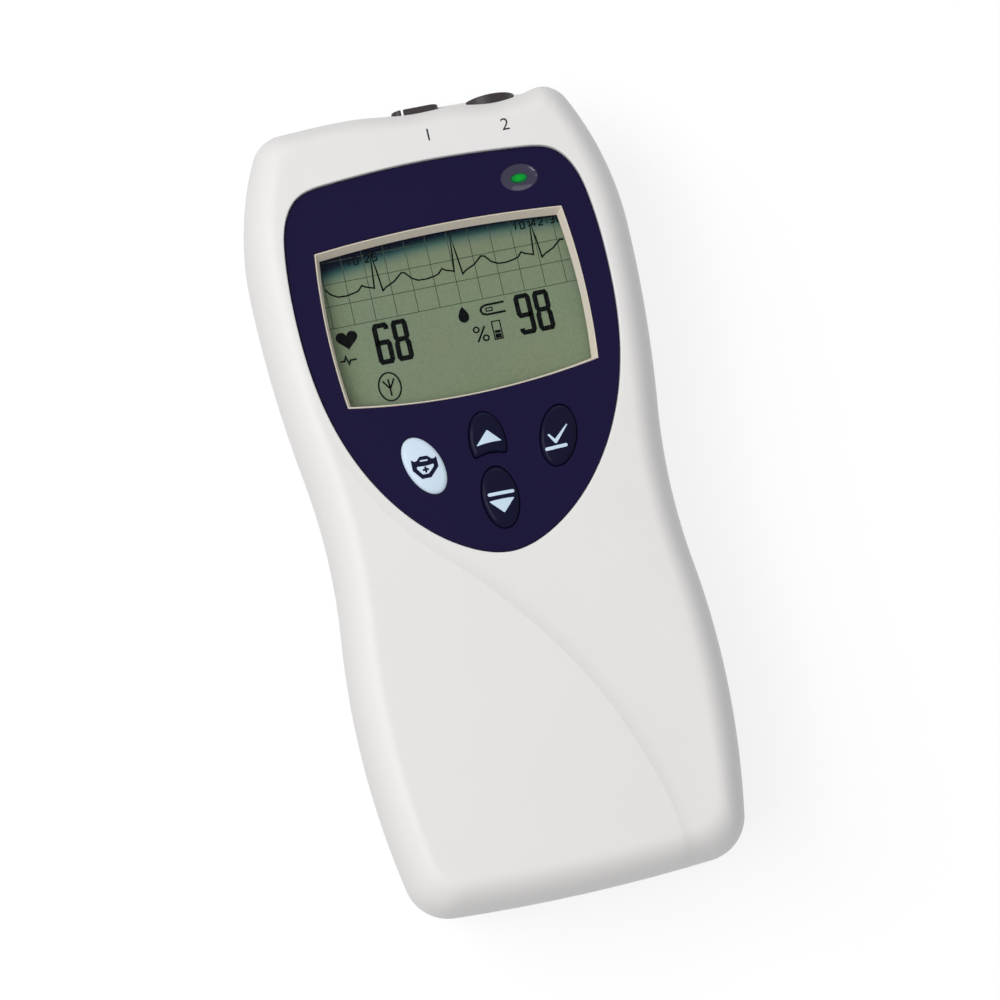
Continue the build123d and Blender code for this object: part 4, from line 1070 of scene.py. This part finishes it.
def reading(text, x, y, width, height, pitch, line):
    """Loops of a number in display digits, its lower left corner at a place."""
    pieces = []
    for index, letter in enumerate(text):
        for points, closed in digit_lines[letter]:
            placed = [(x + index * pitch + line / 2 + u * (width - line), y + line / 2 + v * (height - line))
                      for u, v in points]
            pieces.append(band(placed, line, closed))
    return pieces


shown = reading("68", -19.0, 32.35, width=3.75, height=9.5, pitch=4.25, line=1.15)
shown += reading("98", 13.4, 32.65, width=3.75, height=9.4, pitch=4.25, line=1.1)

# a heart and a small beat beside the left reading
heart_x, heart_y = -24.85, 39.65
heart = [(heart_x + 2.45 * sin(t) ** 3,
          heart_y + 0.15 * (13 * cos(t) - 5 * cos(2 * t) - 2 * cos(3 * t) - cos(4 * t)))
         for t in np.linspace(0, 2 * pi, 40, endpoint=False)]
small_beat = [(-27.4, 34.9), (-26.4, 34.9), (-26.0, 35.8), (-25.5, 34.1), (-25.1, 34.9), (-23.7, 34.9)]
shown += [[np.array(heart)], band(small_beat, 0.42)]

# a drop, a fingertip and a per cent sign beside the right reading
drop_x, drop_y = 1.7, 39.95
drop = [(drop_x + 1.55 * sin(t) * sin(t / 2), drop_y + 1.85 * cos(t))
        for t in np.linspace(0, 2 * pi, 36, endpoint=False)]
finger = [(11.2, 41.1), (6.9, 41.1), (6.0, 40.75), (5.65, 40.0), (6.0, 39.25), (6.9, 38.9), (11.2, 38.9)]
shown += [[np.array(drop)], band(finger, 0.5),
          band([(6.9, 40.35), (8.3, 40.35), (8.3, 39.65), (6.9, 39.65)], 0.28, True)]
shown += [[circle(x, y, radius, 20) for radius in (0.8, 0.42)] for x, y in ((3.75, 35.95), (5.55, 33.75))]
shown.append(band([(3.6, 33.1), (5.75, 36.5)], 0.42))

# the signal's bar, filled from its foot
shown += [band([(7.45, 32.95), (9.3, 32.95), (9.3, 37.1), (7.45, 37.1)], 0.28, True),
          [np.array([(7.7, 33.15), (9.05, 33.15), (9.05, 34.2), (7.7, 34.2)])],
          [np.array([(7.7, 34.35), (9.05, 34.35), (9.05, 35.0), (7.7, 35.0)])]]

# an aerial in its ring
mark_x, mark_y, mark_line = -17.85, 27.25, 0.38
shown.append(band(oval(3.2, 2.45, (mark_x, mark_y, 0), 48), mark_line, True))
mark_strokes = ([(0, -2.1), (0, 0.1), (-0.1, 1.75)], [(-1.35, 1.5), (-0.15, -0.3)],
                [(1.25, 1.7), (0.15, -0.3)])
for stroke in mark_strokes:
    shown.append(band([(mark_x + x, mark_y + y) for x, y in stroke], mark_line))

# plain numbers along the top: a scale and a clock
for text, x in (("10", -21.4), ("25", -17.2)):
    shown += reading(text, x, 55.9, width=1.25, height=1.9, pitch=1.65, line=0.3)
for text, x in (("10", 17.0), ("42", 21.2), ("36", 25.4)):
    shown += reading(text, x, 56.5, width=1.2, height=1.9, pitch=1.6, line=0.3)
dot_width, dot_corner = 0.34, 0.05
shown += [[rounded_box(x, y, dot_width, dot_width, dot_corner, 2)]
          for x in (20.65, 24.85) for y in (57.0, 57.9)]

# the pulse trace: four beats, the first and the last cut off by the glass's edge
beat_length, trace_start_x, trace_y, trace_climb = 18.3, -39.28, 49.5, 0.2
trace_left, trace_right, trace_top, trace_bow, trace_line = -28.0, 27.7, 58.6, 0.0016, 0.36
beat_shape = [(0.0, 0.0), (1.0, 0.3), (2.0, 1.35), (2.7, 0.85), (4.6, 0.2), (5.0, 4.4), (5.35, 9.2),
              (5.9, 4.0), (6.35, -0.75), (7.2, -0.1), (9.3, 0.85), (11.2, 2.45), (12.0, 2.25), (13.2, 0.75),
              (14.6, 0.0), (16.4, -0.1)]
trace = []
for beat in range(4):
    start_x = trace_start_x + beat * beat_length
    lift = trace_y + trace_climb * beat
    trace += [(start_x + x, lift + y) for x, y in beat_shape]
trace = [(x, min(y, trace_top - trace_bow * x ** 2)) for x, y in trace if trace_left < x < trace_right]
shown.append(band(trace, trace_line))
segment_foot, segment_top = lcd_top + 0.005, lcd_top + 0.02
segments = [inlay("segment", loops, segment_foot, segment_top) for loops in shown]
finished(joined("display_segments", segments), ink, "monitor", "display_glass")


def new_group(name, inputs):
    """A node group with its inputs, and what its input node gives."""
    tree = bpy.data.node_groups.new(name, "GeometryNodeTree")
    tree.interface.new_socket("Geometry", in_out="OUTPUT", socket_type="NodeSocketGeometry")
    for label, kind in inputs:
        tree.interface.new_socket(label, in_out="INPUT", socket_type="NodeSocket" + kind)
    return tree, put(tree, "NodeGroupInput").outputs


def end_group(tree, points, piece, material, **turn):
    """Ends a group: the piece on each point, as one mesh, in its finish."""
    copies = put(tree, "GeometryNodeInstanceOnPoints", Points=points, Instance=piece, **turn)
    real = put(tree, "GeometryNodeRealizeInstances", Geometry=copies.outputs[0])
    dressed = put(tree, "GeometryNodeSetMaterial", Geometry=real.outputs[0], Material=material)
    put(tree, "NodeGroupOutput", Geometry=dressed.outputs[0])


def bars_tree():
    """A row of equal bars on points that are evenly apart."""
    tree, given = new_group("row_of_bars", (
        ("Geometry", "Geometry"), ("Count", "Int"), ("Start", "Vector"), ("Step", "Vector"),
        ("Size", "Vector"), ("Material", "Material")))
    line = put(tree, "GeometryNodeMeshLine", Count=given["Count"], Start_Location=given["Start"],
               Offset=given["Step"])
    cube = put(tree, "GeometryNodeMeshCube", Size=given["Size"])
    end_group(tree, line.outputs["Mesh"], cube.outputs["Mesh"], given["Material"])
    return tree


def grown_by(name, tree, values, places=()):
    """A plain mesh object made by a node tree from named values and, where it needs them, places."""
    mesh = bpy.data.meshes.new(name)
    mesh.from_pydata(list(places), [], [])
    maker = bpy.data.objects.new(name, mesh)
    scene.collection.objects.link(maker)
    modifier = maker.modifiers.new("maker", "NODES")
    modifier.node_group = tree
    for item in tree.interface.items_tree:
        if item.in_out == "INPUT" and item.name in values:
            modifier[item.identifier] = values[item.name]
    made = bpy.data.meshes.new_from_object(maker.evaluated_get(bpy.context.evaluated_depsgraph_get()))
    maker.modifiers.clear()
    maker.data = made
    bpy.data.meshes.remove(mesh)
    made.name = name
    return maker


grid_ink = skin("display_grid", srgb(66, 80, 66), 0.6, grain=0.3, depth=0.001, Specular_IOR_Level=0.1)
grid_z, grid_line, grid_thickness = lcd_top + 0.006, 0.17, 0.006
bars = bars_tree()
upright = grown_by("grid", bars, {
    "Count": 12, "Start": (-27.23 * mm, 51.3 * mm, grid_z * mm), "Step": (4.85 * mm, 0, 0),
    "Size": (grid_line * mm, 17.6 * mm, grid_thickness * mm), "Material": grid_ink})
level = grown_by("grid", bars, {
    "Count": 4, "Start": (0, 42.6 * mm, (grid_z + 0.001) * mm), "Step": (0, 5.05 * mm, 0),
    "Size": (57 * mm, grid_line * mm, grid_thickness * mm), "Material": grid_ink})
finished(joined("display_grid", [upright, level]), grid_ink, "monitor", "display_glass")


# Keys
# Four silicone keys with soft edges and a low crown: a pale nurse call key and three navy ones. Each is one
# moulding with a flange under the panel and a plunger over its dome.

key_navy = skin("key_navy", srgb(15, 15, 45), 0.24, grain=0.3, depth=0.004, tone=0.06, broad=6,
                Specular_IOR_Level=0.09)
key_pale = skin("key_pale", srgb(214, 232, 248), 0.45, grain=0.3, depth=0.006, tone=0.01, broad=6)
key_rise, key_edge, key_edge_drop = 1.1, 0.95, 0.62
crown_pitch, crown_clearance = 0.55, 0.25
crown_radius = 26.0
flange_top, flange_bottom = 36.1, 35.1
plunger_bottom, plunger_radius = 31.7, 1.6


def crown_height(middle):
    """Height of a key's crown over plan points."""
    def height(plan):
        reach = ((plan - np.array(middle)) ** 2).sum(axis=1)
        return panel_z + key_rise - crown_radius + np.sqrt(crown_radius ** 2 - reach)
    return height


def moulded_key(name, outline, flange, middle, plunger, material, body, slot):
    """One key: plunger, flange, wall, soft edge and crown."""
    crown = crown_height(middle)
    rings = [at_height(flange, flange_bottom), at_height(flange, flange_top), at_height(outline, flange_top)]
    rim_height = crown(outline) - key_edge * key_edge_drop
    rings.append(np.column_stack([outline, rim_height - 0.02]))
    for angle in np.radians(np.linspace(10, 80, 8)):
        plan = grown(outline, -key_edge * (1 - cos(angle)))
        top = crown(plan)
        rings.append(np.column_stack([plan, rim_height + (top - rim_height) * sin(angle)]))
    edge = grown(outline, -key_edge)
    low, high = edge.min(axis=0), edge.max(axis=0)
    inner = hex_grid(low, high, crown_pitch)
    inner = inner[inside_outline(inner, edge, crown_clearance)]
    plan, faces = filled(edge, inner)
    cap = capped(name, rings, np.column_stack([plan, crown(plan)]), faces)
    stem = prism("tool", circle(*plunger, plunger_radius, 32), plunger_bottom, flange_bottom + 0.4)
    cap = combined(cap, stem, "UNION")
    return finished(cap, material, body, slot, sharp=34, replaced=(body,))


flange_reach = 1.0
up_crown = (0.0, 11.0)
up_middle = (0.0, (up_place[1] + key_half_length + up_bite_y + up_bite_radius) / 2)
for outline, flange, (name, crown_middle, plunger, material, body, slot) in zip(
        key_outlines(0), key_outlines(flange_reach), (
            ("nurse_key_moulding", nurse_place[:2], nurse_place[:2], key_pale, "nurse_call_key", "key_pale"),
            ("up_key_moulding", up_crown, up_middle, key_navy, "up_key", "key_navy"),
            ("down_key_moulding", down_place[:2], down_place[:2], key_navy, "down_key", "key_navy"),
            ("select_key_moulding", select_place[:2], select_place[:2], key_navy, "select_key", "key_navy"))):
    moulded_key(name, outline, flange, crown_middle, plunger, material, body, slot)


# Key marks
# Symbols printed on the keys: arrowheads, a tick over a bar, and a nurse's cap with a plus on the pale key.

mark_pale = skin("mark_pale", srgb(206, 228, 246), 0.5, grain=0.3, depth=0.002, tone=0.01)
mark_navy = skin("mark_navy", srgb(14, 16, 48), 0.5, grain=0.3, depth=0.002, tone=0.02,
                 Specular_IOR_Level=0.1)
print_under, print_over = -0.08, 0.03


def soft_corners(points, radius, steps=4):
    """A polygon whose corners are cut by small arcs."""
    points = [np.array(p, float) for p in points]
    out = []
    for k, corner in enumerate(points):
        back = points[k - 1] - corner
        ahead = points[(k + 1) % len(points)] - corner
        take = min(radius, np.linalg.norm(back) / 2.2, np.linalg.norm(ahead) / 2.2)
        start = corner + back / np.linalg.norm(back) * take
        end = corner + ahead / np.linalg.norm(ahead) * take
        for t in np.linspace(0, 1, steps + 1):
            out.append((1 - t) ** 2 * start + 2 * t * (1 - t) * corner + t ** 2 * end)
    return np.array(out)


def bar(start, end, width):
    """A bar with round ends."""
    start, end = np.array(start, float), np.array(end, float)
    angle = atan2(*(end - start)[::-1])
    around = []
    for centre, first in ((end, angle - pi / 2), (start, angle + pi / 2)):
        turns = np.linspace(first, first + pi, 9)
        around.append(np.column_stack([centre[0] + width / 2 * np.cos(turns),
                                       centre[1] + width / 2 * np.sin(turns)]))
    return np.vstack(around)


def key_mark(name, shapes, middle, material, body, slot):
    """Printed symbols that follow a key's crown."""
    crown = crown_height(middle)
    pieces = [inlay("mark", loops, print_under, print_over, crown) for loops in shapes]
    finished(joined(name, pieces), material, body, slot)


def curved_side(start, end, bulge, steps=7):
    """Points from start to end along a shallow arc that bulges to the left of the way."""
    start, end = np.array(start, float), np.array(end, float)
    way = end - start
    left = np.array([-way[1], way[0]]) / np.linalg.norm(way)
    return [start + way * t + left * bulge * 4 * t * (1 - t) for t in np.linspace(0, 1, steps + 1)[:-1]]


up_arrow = curved_side((-2.8, 9.0), (3.0, 9.25), 0.18) + [np.array((3.0, 9.25)), np.array((0.25, 12.2))]
key_mark("up_arrow_mark", [[soft_corners(up_arrow, 0.3)]], up_crown, mark_pale, "up_key", "key_pale")
down_arrow = [np.array((0.05, -6.6))] + curved_side((2.9, -3.65), (-2.8, -3.6), -0.12)
down_arrow.append(np.array((-2.8, -3.6)))
key_mark("down_arrow_mark", [[soft_corners(down_arrow, 0.3)], [bar((-2.4, -2.15), (2.8, -2.25), 0.75)]],
         down_place[:2], mark_pale, "down_key", "key_pale")
tick = [(13.05, 8.35), (13.45, 8.5), (14.5, 7.1), (17.75, 9.95), (17.95, 9.8), (14.75, 6.15), (14.35, 6.15)]
key_mark("select_mark", [[soft_corners(tick, 0.12)], [bar((12.3, 5.25), (16.6, 5.35), 0.75)]],
         select_place[:2], mark_pale, "select_key", "key_pale")
cap_x, cap_y = -14.84, 7.13
cap_outside = [(-2.72, 1.82), (-2.0, 1.3), (-1.5, 1.38), (-0.75, 2.2), (1.0, 2.16), (1.85, 1.3), (2.45, 1.3),
               (2.95, 1.72), (3.0, -0.62), (0.95, -2.75), (-1.1, -2.75), (-2.78, -0.6)]
cap_inside = [(-1.72, 0.1), (0.15, -0.08), (2.02, 0.12), (2.02, -0.42), (0.58, -1.82), (-0.75, -1.82),
              (-1.78, -0.42)]
cap_slot = [(-0.85, 1.42), (0.95, 1.34), (0.95, 1.0), (-0.85, 1.08)]
cap_loops = [soft_corners([(cap_x + x, cap_y + y) for x, y in loop], 0.2)
             for loop in (cap_outside, cap_inside, cap_slot)]
cap_plus = [(cap_x + 0.08 + x, cap_y - 0.86 + y) for x, y in (
    (-0.24, 0.66), (0.24, 0.66), (0.24, 0.24), (0.66, 0.24), (0.66, -0.24), (0.24, -0.24), (0.24, -0.66),
    (-0.24, -0.66), (-0.24, -0.24), (-0.66, -0.24), (-0.66, 0.24), (-0.24, 0.24))]
cap_shapes = [cap_loops, [np.array(cap_plus)]]
key_mark("nurse_cap_mark", cap_shapes, nurse_place[:2], mark_navy, "nurse_call_key", "key_navy")


# Domes
# Translucent silicone domes under the keys: a thin foot on the board, a soft shoulder and a flat crown.

dome_silicone = skin("dome_silicone", srgb(196, 199, 204), 0.5, grain=0.4, depth=0.008)
dome_profile = [(3.38, 0.0), (3.2, 0.22), (2.75, 0.5), (2.45, 1.0), (2.2, 1.45), (1.95, 1.75), (1.7, 1.93),
                (1.35, 2.0)]
dome_points = 40


def soft_dome(node):
    """A dome turned round its node's middle."""
    low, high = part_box(node)
    x, y, foot = (low[0] + high[0]) / 2 / mm, (low[1] + high[1]) / 2 / mm, low[2] / mm
    rings = [at_height(circle(x, y, radius, dome_points), foot + height) for radius, height in dome_profile]
    dome = stack(f"{node}_rubber", rings)
    finished(dome, dome_silicone, "monitor", "dome_silicone", sharp=40, replaced=(node,))
    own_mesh(dome)


for key in ("nurse_call", "up", "down", "select"):
    soft_dome(f"{key}_dome")


# Status light
# A green light pipe whose oval end shows in the panel's dish, over its diode.

glow_half_length, glow_half_width = 1.9, 1.9 / 1.6
glow, tree = new_material("green_light")
hues = mixed(tree, share_from_middle(tree, light_x, light_y, glow_half_length, glow_half_width),
             srgb(0, 142, 30), srgb(2, 88, 44))
show(tree, put(tree, "ShaderNodeBsdfPrincipled", Base_Color=hues, Roughness=0.25, Specular_IOR_Level=0.15,
               Emission_Color=hues, Emission_Strength=0.55))
clothe(glow, "status_light")
clothe(skin("diode_resin", srgb(225, 238, 220), 0.25, grain=0.5, depth=0.004), "status_led")


# Sockets
# Dark moulded shrouds in the head end, each with a carrier at its bottom that holds gold-plated sleeves.

socket_plastic = skin("socket_plastic", srgb(44, 34, 36), 0.42, grain=0.4, depth=0.01, tone=0.08, broad=5)
carrier_plastic = skin("carrier_plastic", srgb(70, 70, 73), 0.5, grain=0.4, depth=0.01)
gold = skin("contact_gold", srgb(222, 184, 106), 0.28, grain=0.2, depth=0.002, tone=0.05, broad=2,
            metallic=1.0)
clothe(socket_plastic, "ecg_socket", "spo2_socket")
clothe(carrier_plastic, "ecg_insert", "spo2_insert")
clothe(gold, "battery_contacts")


def set_of_pieces(name, sizes):
    """A group that puts one piece on each given place. The piece's parts go into its gathering node."""
    tree, given = new_group(name, [("Geometry", "Geometry")] + [(label, "Float") for label in sizes]
                            + [("Turn", "Rotation"), ("Material", "Material")])
    gathered = put(tree, "GeometryNodeJoinGeometry")
    end_group(tree, given["Geometry"], gathered.outputs[0], given["Material"], Rotation=given["Turn"])

    def share(label, factor):
        return worked_out(tree, "MULTIPLY", given[label], factor)

    return tree, given, gathered, share


def shifted(tree, mesh, z):
    """A mesh of a tree, moved along Z."""
    place = put(tree, "ShaderNodeCombineXYZ", Z=z)
    return put(tree, "GeometryNodeTransform", Geometry=mesh, Translation=place.outputs[0]).outputs[0]


def cut_from(tree, mesh, tools):
    """A mesh of a tree with other meshes cut out of it."""
    cutter = put(tree, "GeometryNodeMeshBoolean", **{"Mesh 1": mesh})
    for tool in tools:
        tree.links.new(tool, cutter.inputs["Mesh 2"])
    return cutter.outputs[0]


def box_mesh(tree, x, y, z):
    """A box of a tree, from its three sizes."""
    size = put(tree, "ShaderNodeCombineXYZ", X=x, Y=y, Z=z)
    return put(tree, "GeometryNodeMeshCube", Size=size.outputs[0]).outputs["Mesh"]


def rod_mesh(tree, vertices, radius, length):
    """A cylinder of a tree."""
    rod = put(tree, "GeometryNodeMeshCylinder", Vertices=vertices, Radius=radius, Depth=length)
    return rod.outputs["Mesh"]


def sleeve_tree():
    """Turned sleeves, drilled from their mouth and slit so that they grip a pin."""
    tree, given, gathered, share = set_of_pieces(
        "set_of_sleeves", ["Length", "Radius", "Bore", "Bore Depth", "Slit"])
    body = rod_mesh(tree, 24, given["Radius"], given["Length"])
    drill = rod_mesh(tree, 20, given["Bore"], share("Bore Depth", 2.0))
    blade = box_mesh(tree, share("Radius", 3.0), given["Slit"], share("Bore Depth", 1.5))
    mouth = share("Length", 0.5)
    tools = [shifted(tree, drill, mouth), shifted(tree, blade, mouth)]
    tree.links.new(cut_from(tree, body, tools), gathered.inputs[0])
    return tree


sleeves = sleeve_tree()
sleeve_length = 7.0
sleeve_middle_y = socket_foot_y + sleeve_length / 2
ecg_pitch, spo2_ring_radius = 3.1, 2.9
ecg_places = [(ecg_x, ecg_z + (index - 2) * ecg_pitch) for index in range(5)]
spo2_places = [(spo2_x + spo2_ring_radius * cos(turn), spo2_z + spo2_ring_radius * sin(turn))
               for turn in (index * pi / 3 for index in range(6))]
for node, places in (("ecg_contacts", ecg_places), ("spo2_contacts", spo2_places)):
    made = grown_by(node + "_sleeves", sleeves, {
        "Length": sleeve_length * mm, "Radius": 0.65 * mm, "Bore": 0.35 * mm, "Bore Depth": 3.2 * mm,
        "Slit": 0.16 * mm, "Turn": (-pi / 2, 0.0, 0.0), "Material": gold},
        [(x * mm, sleeve_middle_y * mm, z * mm) for x, z in places])
    finished(made, gold, "monitor", "contact_metal", replaced=(node,))


# Socket numbers
# The numbers 1 and 2 printed beside the sockets on the front shell.

print_black = skin("print_black", srgb(34, 32, 40), 0.55, grain=0.3, depth=0.002, tone=0.02)
number_size, number_under, number_over, number_cell = 4.0, -0.05, 0.02, 0.4


def printed_number(name, text, x, y):
    """A number printed on the front's skin, middle at a place."""
    data = bpy.data.curves.new(name, "FONT")
    data.body = text
    data.size = number_size
    data.align_x = "CENTER"
    data.align_y = "CENTER"
    data.resolution_u = 6
    piece = pressed(name, data, number_under, number_over, face_height, number_cell, (x, y))
    finished(piece, print_black, "monitor", "panel_navy")


printed_number("socket_number_one", "1", 2.4, 80.4)
printed_number("socket_number_two", "2", 19.8, 79.4)


# Battery door and battery
# The sliding door in the back, the sleeved battery pack behind it and the black block with its spring blades.

clothe(white_plastic, "battery_door")
clothe(skin("battery_sleeve", srgb(74, 80, 92), 0.4, grain=0.6, depth=0.01, tone=0.04), "battery_pack")
clothe(black_plastic, "battery_connector")


# Fasteners
# Plated steel screws and the brass inserts that take them.

steel = skin("plated_steel", srgb(176, 176, 174), 0.32, grain=0.3, depth=0.004, tone=0.04, broad=3,
             metallic=1.0)
brass = skin("brass", srgb(214, 178, 104), 0.35, grain=0.3, depth=0.004, tone=0.05, broad=3, metallic=1.0)
clothe(brass, "case_inserts")


def screw_tree():
    """Screws with a cross recess in the head and a thread round the shank, seated at the place itself."""
    tree, given, gathered, share = set_of_pieces(
        "set_of_screws", ["Head Radius", "Head Height", "Shank Radius", "Length", "Pitch"])
    head = rod_mesh(tree, 36, given["Head Radius"], given["Head Height"])
    head = shifted(tree, head, share("Head Height", -0.5))
    arm, slot, depth = share("Head Radius", 1.15), share("Head Radius", 0.26), share("Head Height", 1.1)
    cross = [shifted(tree, box_mesh(tree, along, beside, depth), share("Head Height", -1.0))
             for along, beside in ((arm, slot), (slot, arm))]
    core = share("Shank Radius", 0.86)
    shank = shifted(tree, rod_mesh(tree, 24, core, given["Length"]), share("Length", 0.5))
    turns = worked_out(tree, "DIVIDE", given["Length"], given["Pitch"])
    way = put(tree, "GeometryNodeCurveSpiral", Resolution=20, Rotations=turns, Start_Radius=core,
              End_Radius=core, Height=share("Length", 0.9))
    edge = put(tree, "GeometryNodeCurvePrimitiveCircle", Resolution=4, Radius=share("Shank Radius", 0.13))
    thread = put(tree, "GeometryNodeCurveToMesh", Curve=way.outputs["Curve"],
                 Profile_Curve=edge.outputs["Curve"], Fill_Caps=True).outputs["Mesh"]
    for mesh in (cut_from(tree, head, cross), shank, shifted(tree, thread, share("Length", 0.05))):
        tree.links.new(mesh, gathered.inputs[0])
    return tree


screws = screw_tree()
case_seat_z, radio_seat_z = 14.0, 25.3
radio_places = [(x, y) for x in (-18.0, 18.0) for y in (-72.0, -27.0)]
for node, places, seat, turn, (head_radius, head_height, shank_radius, length, pitch) in (
        ("case_screws", boss_places, case_seat_z, 0.0, (2.75, 2.4, 1.45, 18.8, 1.2)),
        ("board_screws", pillar_places, parting_z, 0.0, (2.0, 1.4, 1.0, 5.0, 0.8)),
        ("radio_screws", radio_places, radio_seat_z, pi, (2.0, 1.4, 1.0, 4.2, 0.8))):
    made = grown_by(node + "_set", screws, {
        "Head Radius": head_radius * mm, "Head Height": head_height * mm, "Shank Radius": shank_radius * mm,
        "Length": length * mm, "Pitch": pitch * mm, "Turn": (turn, 0.0, 0.0), "Material": steel},
        [(x * mm, y * mm, seat * mm) for x, y in places])
    finished(made, steel, "monitor", "screw_steel", replaced=(node,))


# Boards and what they carry
# Green laminate boards, tinned shields, the antenna strip, black connectors, the speaker and the amber
# ribbon.

laminate = skin("green_laminate", srgb(22, 96, 56), 0.35, grain=0.8, depth=0.004, tone=0.08, broad=4)
tinned = skin("tinned_steel", srgb(196, 196, 192), 0.38, grain=0.5, depth=0.006, tone=0.04, metallic=1.0)
clothe(laminate, "main_board", "radio_board", "socket_board")
clothe(tinned, "processor_shield", "radio_shield", "antenna")
clothe(black_plastic, "main_plug", "radio_plug", "alarm_speaker")
clothe(skin("amber_film", srgb(186, 140, 66), 0.3, grain=0.8, depth=0.003, tone=0.05), "board_ribbon")
